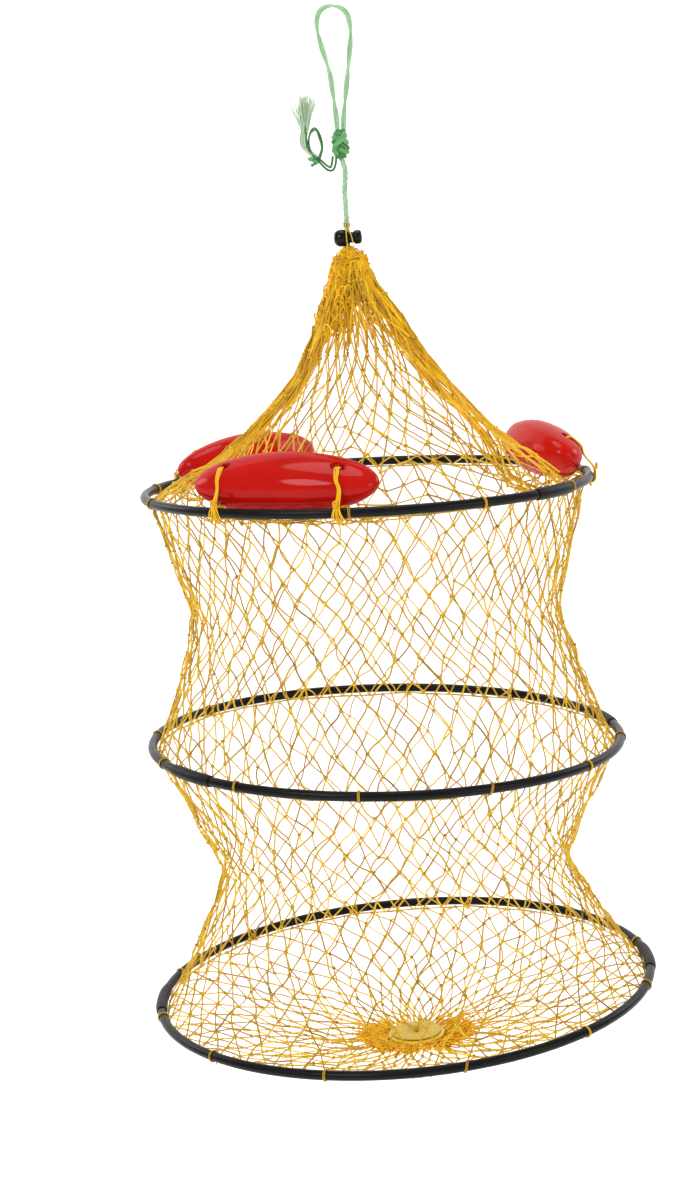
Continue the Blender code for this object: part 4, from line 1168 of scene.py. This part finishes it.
def add_base_gather(disc, rng, materials):
    """The meshes gathered round and under the disc: short strands drawn in under it, and loops beside it."""
    gather = Strands()
    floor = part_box("base_disc")[0].z
    for _ in range(230):
        places = rng.normal(-72, 36), rng.normal(74, 34), rng.normal(0, 50)
        azimuth = rng.choice(places, p=(0.45, 0.28, 0.27))
        out = rng.uniform(0.026, 0.044) + 0.012 * abs(math.sin(math.radians(azimuth))) * rng.uniform(0, 1)
        radii = np.array([out, out * 0.8, 0.024, 0.016, 0.007])
        lift = np.array([0.003 + 0.16 * (out - 0.026), 0.001, -0.0014, -0.0018, -0.002])
        lift = lift + rng.normal(0, 0.0005, 5)
        lift = np.where(radii < 0.025, np.minimum(lift, -0.001), lift)
        points = on_ring(radii, azimuth + np.cumsum(rng.normal(0, 5, 5)), floor + lift)
        points[:, 0] += disc[0]
        gather.strand(smooth_route(points, 0.0026), TWINE_R, 5, rng.uniform(0.1, 0.9))
    for _ in range(190):
        places = rng.normal(-75, 32), rng.normal(74, 34), rng.normal(0, 50)
        azimuth = rng.choice(places, p=(0.45, 0.27, 0.28))
        out = rng.uniform(0.0275, 0.044)
        size = rng.uniform(0.0018, 0.004)
        t = round_angles(12)
        loop = on_ring(out + size * 1.1 * np.cos(t), azimuth + np.degrees(size * 0.7 * np.sin(t) / out),
                       floor + 0.0008 + 0.14 * (out - 0.0275) + 0.4 * size * np.sin(t + rng.uniform(0, 6)))
        loop[:, 0] += disc[0]
        gather.strand(loop, TWINE_R, 5, rng.uniform(0.1, 0.95), closed=True)
    gather.build("base_gather", materials["bunch"], "base_disc", "net")


# ---------------------------------------------------------------- room
def add_stage():
    """A plain pale floor well under the hanging trap that curves up behind it, and soft lights."""
    n = Nodes("paper")
    grain = n.noise(3.0, 3.0, 0.5)
    n.colour(n.ramp(grain, ((0.3, (0.9, 0.9, 0.905)), (0.7, (0.93, 0.93, 0.93)))))
    n.shader.inputs["Roughness"].default_value = 0.95
    n.shader.inputs["Specular IOR Level"].default_value = 0.1
    n.shader.inputs["Emission Color"].default_value = (1.0, 1.0, 1.0, 1.0)
    n.shader.inputs["Emission Strength"].default_value = 0.55
    profile = [(-6.0, -1.25), (2.6, -1.25)]
    profile += [(2.6 + 1.4 * math.sin(a), 0.15 - 1.4 * math.cos(a)) for a in np.radians(np.arange(9, 91, 9))]
    profile += [(4.0, 5.0)]
    bm = bmesh.new()
    rows = [[bm.verts.new((x, y, z)) for x in (-7.0, 7.0)] for y, z in profile]
    for a, b in zip(rows, rows[1:]):
        bm.faces.new((a[0], a[1], b[1], b[0]))
    mesh = bpy.data.meshes.new("floor")
    bm.to_mesh(mesh)
    bm.free()
    mesh.materials.append(n.material)
    mesh.shade_smooth()
    floor = bpy.data.objects.new("floor", mesh)
    bpy.context.scene.collection.objects.link(floor)
    world = bpy.data.worlds.new("world")
    world.use_nodes = True
    background = world.node_tree.nodes["Background"]
    background.inputs["Color"].default_value = (1.0, 0.99, 0.98, 1.0)
    background.inputs["Strength"].default_value = 0.45
    bpy.context.scene.world = world
    bpy.context.scene.view_settings.view_transform = "Standard"
    centre = (CAD_BOX[0] + CAD_BOX[1]) / 2
    for name, place, size, power in (
        ("key", (-1.3, -2.0, 1.2), 1.2, 28.0),
        ("fill", (2.0, -1.6, 0.2), 1.4, 12.0),
        ("back_left", (-2.2, 1.2, 0.6), 1.2, 12.0),
        ("back_right", (2.2, 1.2, 0.6), 1.2, 12.0),
        ("top", (0.0, 0.2, 1.7), 1.4, 16.0),
    ):
        data = bpy.data.lights.new(name, "AREA")
        data.shape = "DISK"
        data.size = size
        data.energy = power
        light = bpy.data.objects.new(name, data)
        light.location = place
        light.rotation_euler = (centre - Vector(place)).to_track_quat("-Z", "Y").to_euler()
        bpy.context.scene.collection.objects.link(light)


def main():
    add_camera()
    materials = make_materials()
    add_rope(materials)
    rings = [Ring(name) for name in ("top_hoop", "middle_hoop", "bottom_hoop")]
    for ring in rings:
        add_hoop(ring, materials)
        add_lacing(ring, materials)
    disc = add_nets(rings, materials)
    add_floats(rings[0], materials)
    add_cord_lock(materials)
    add_bands(rings[0], materials)
    add_mouth(rings[0], materials)
    add_lock_twine(materials)
    add_base(disc, materials)
    add_stage()


main()
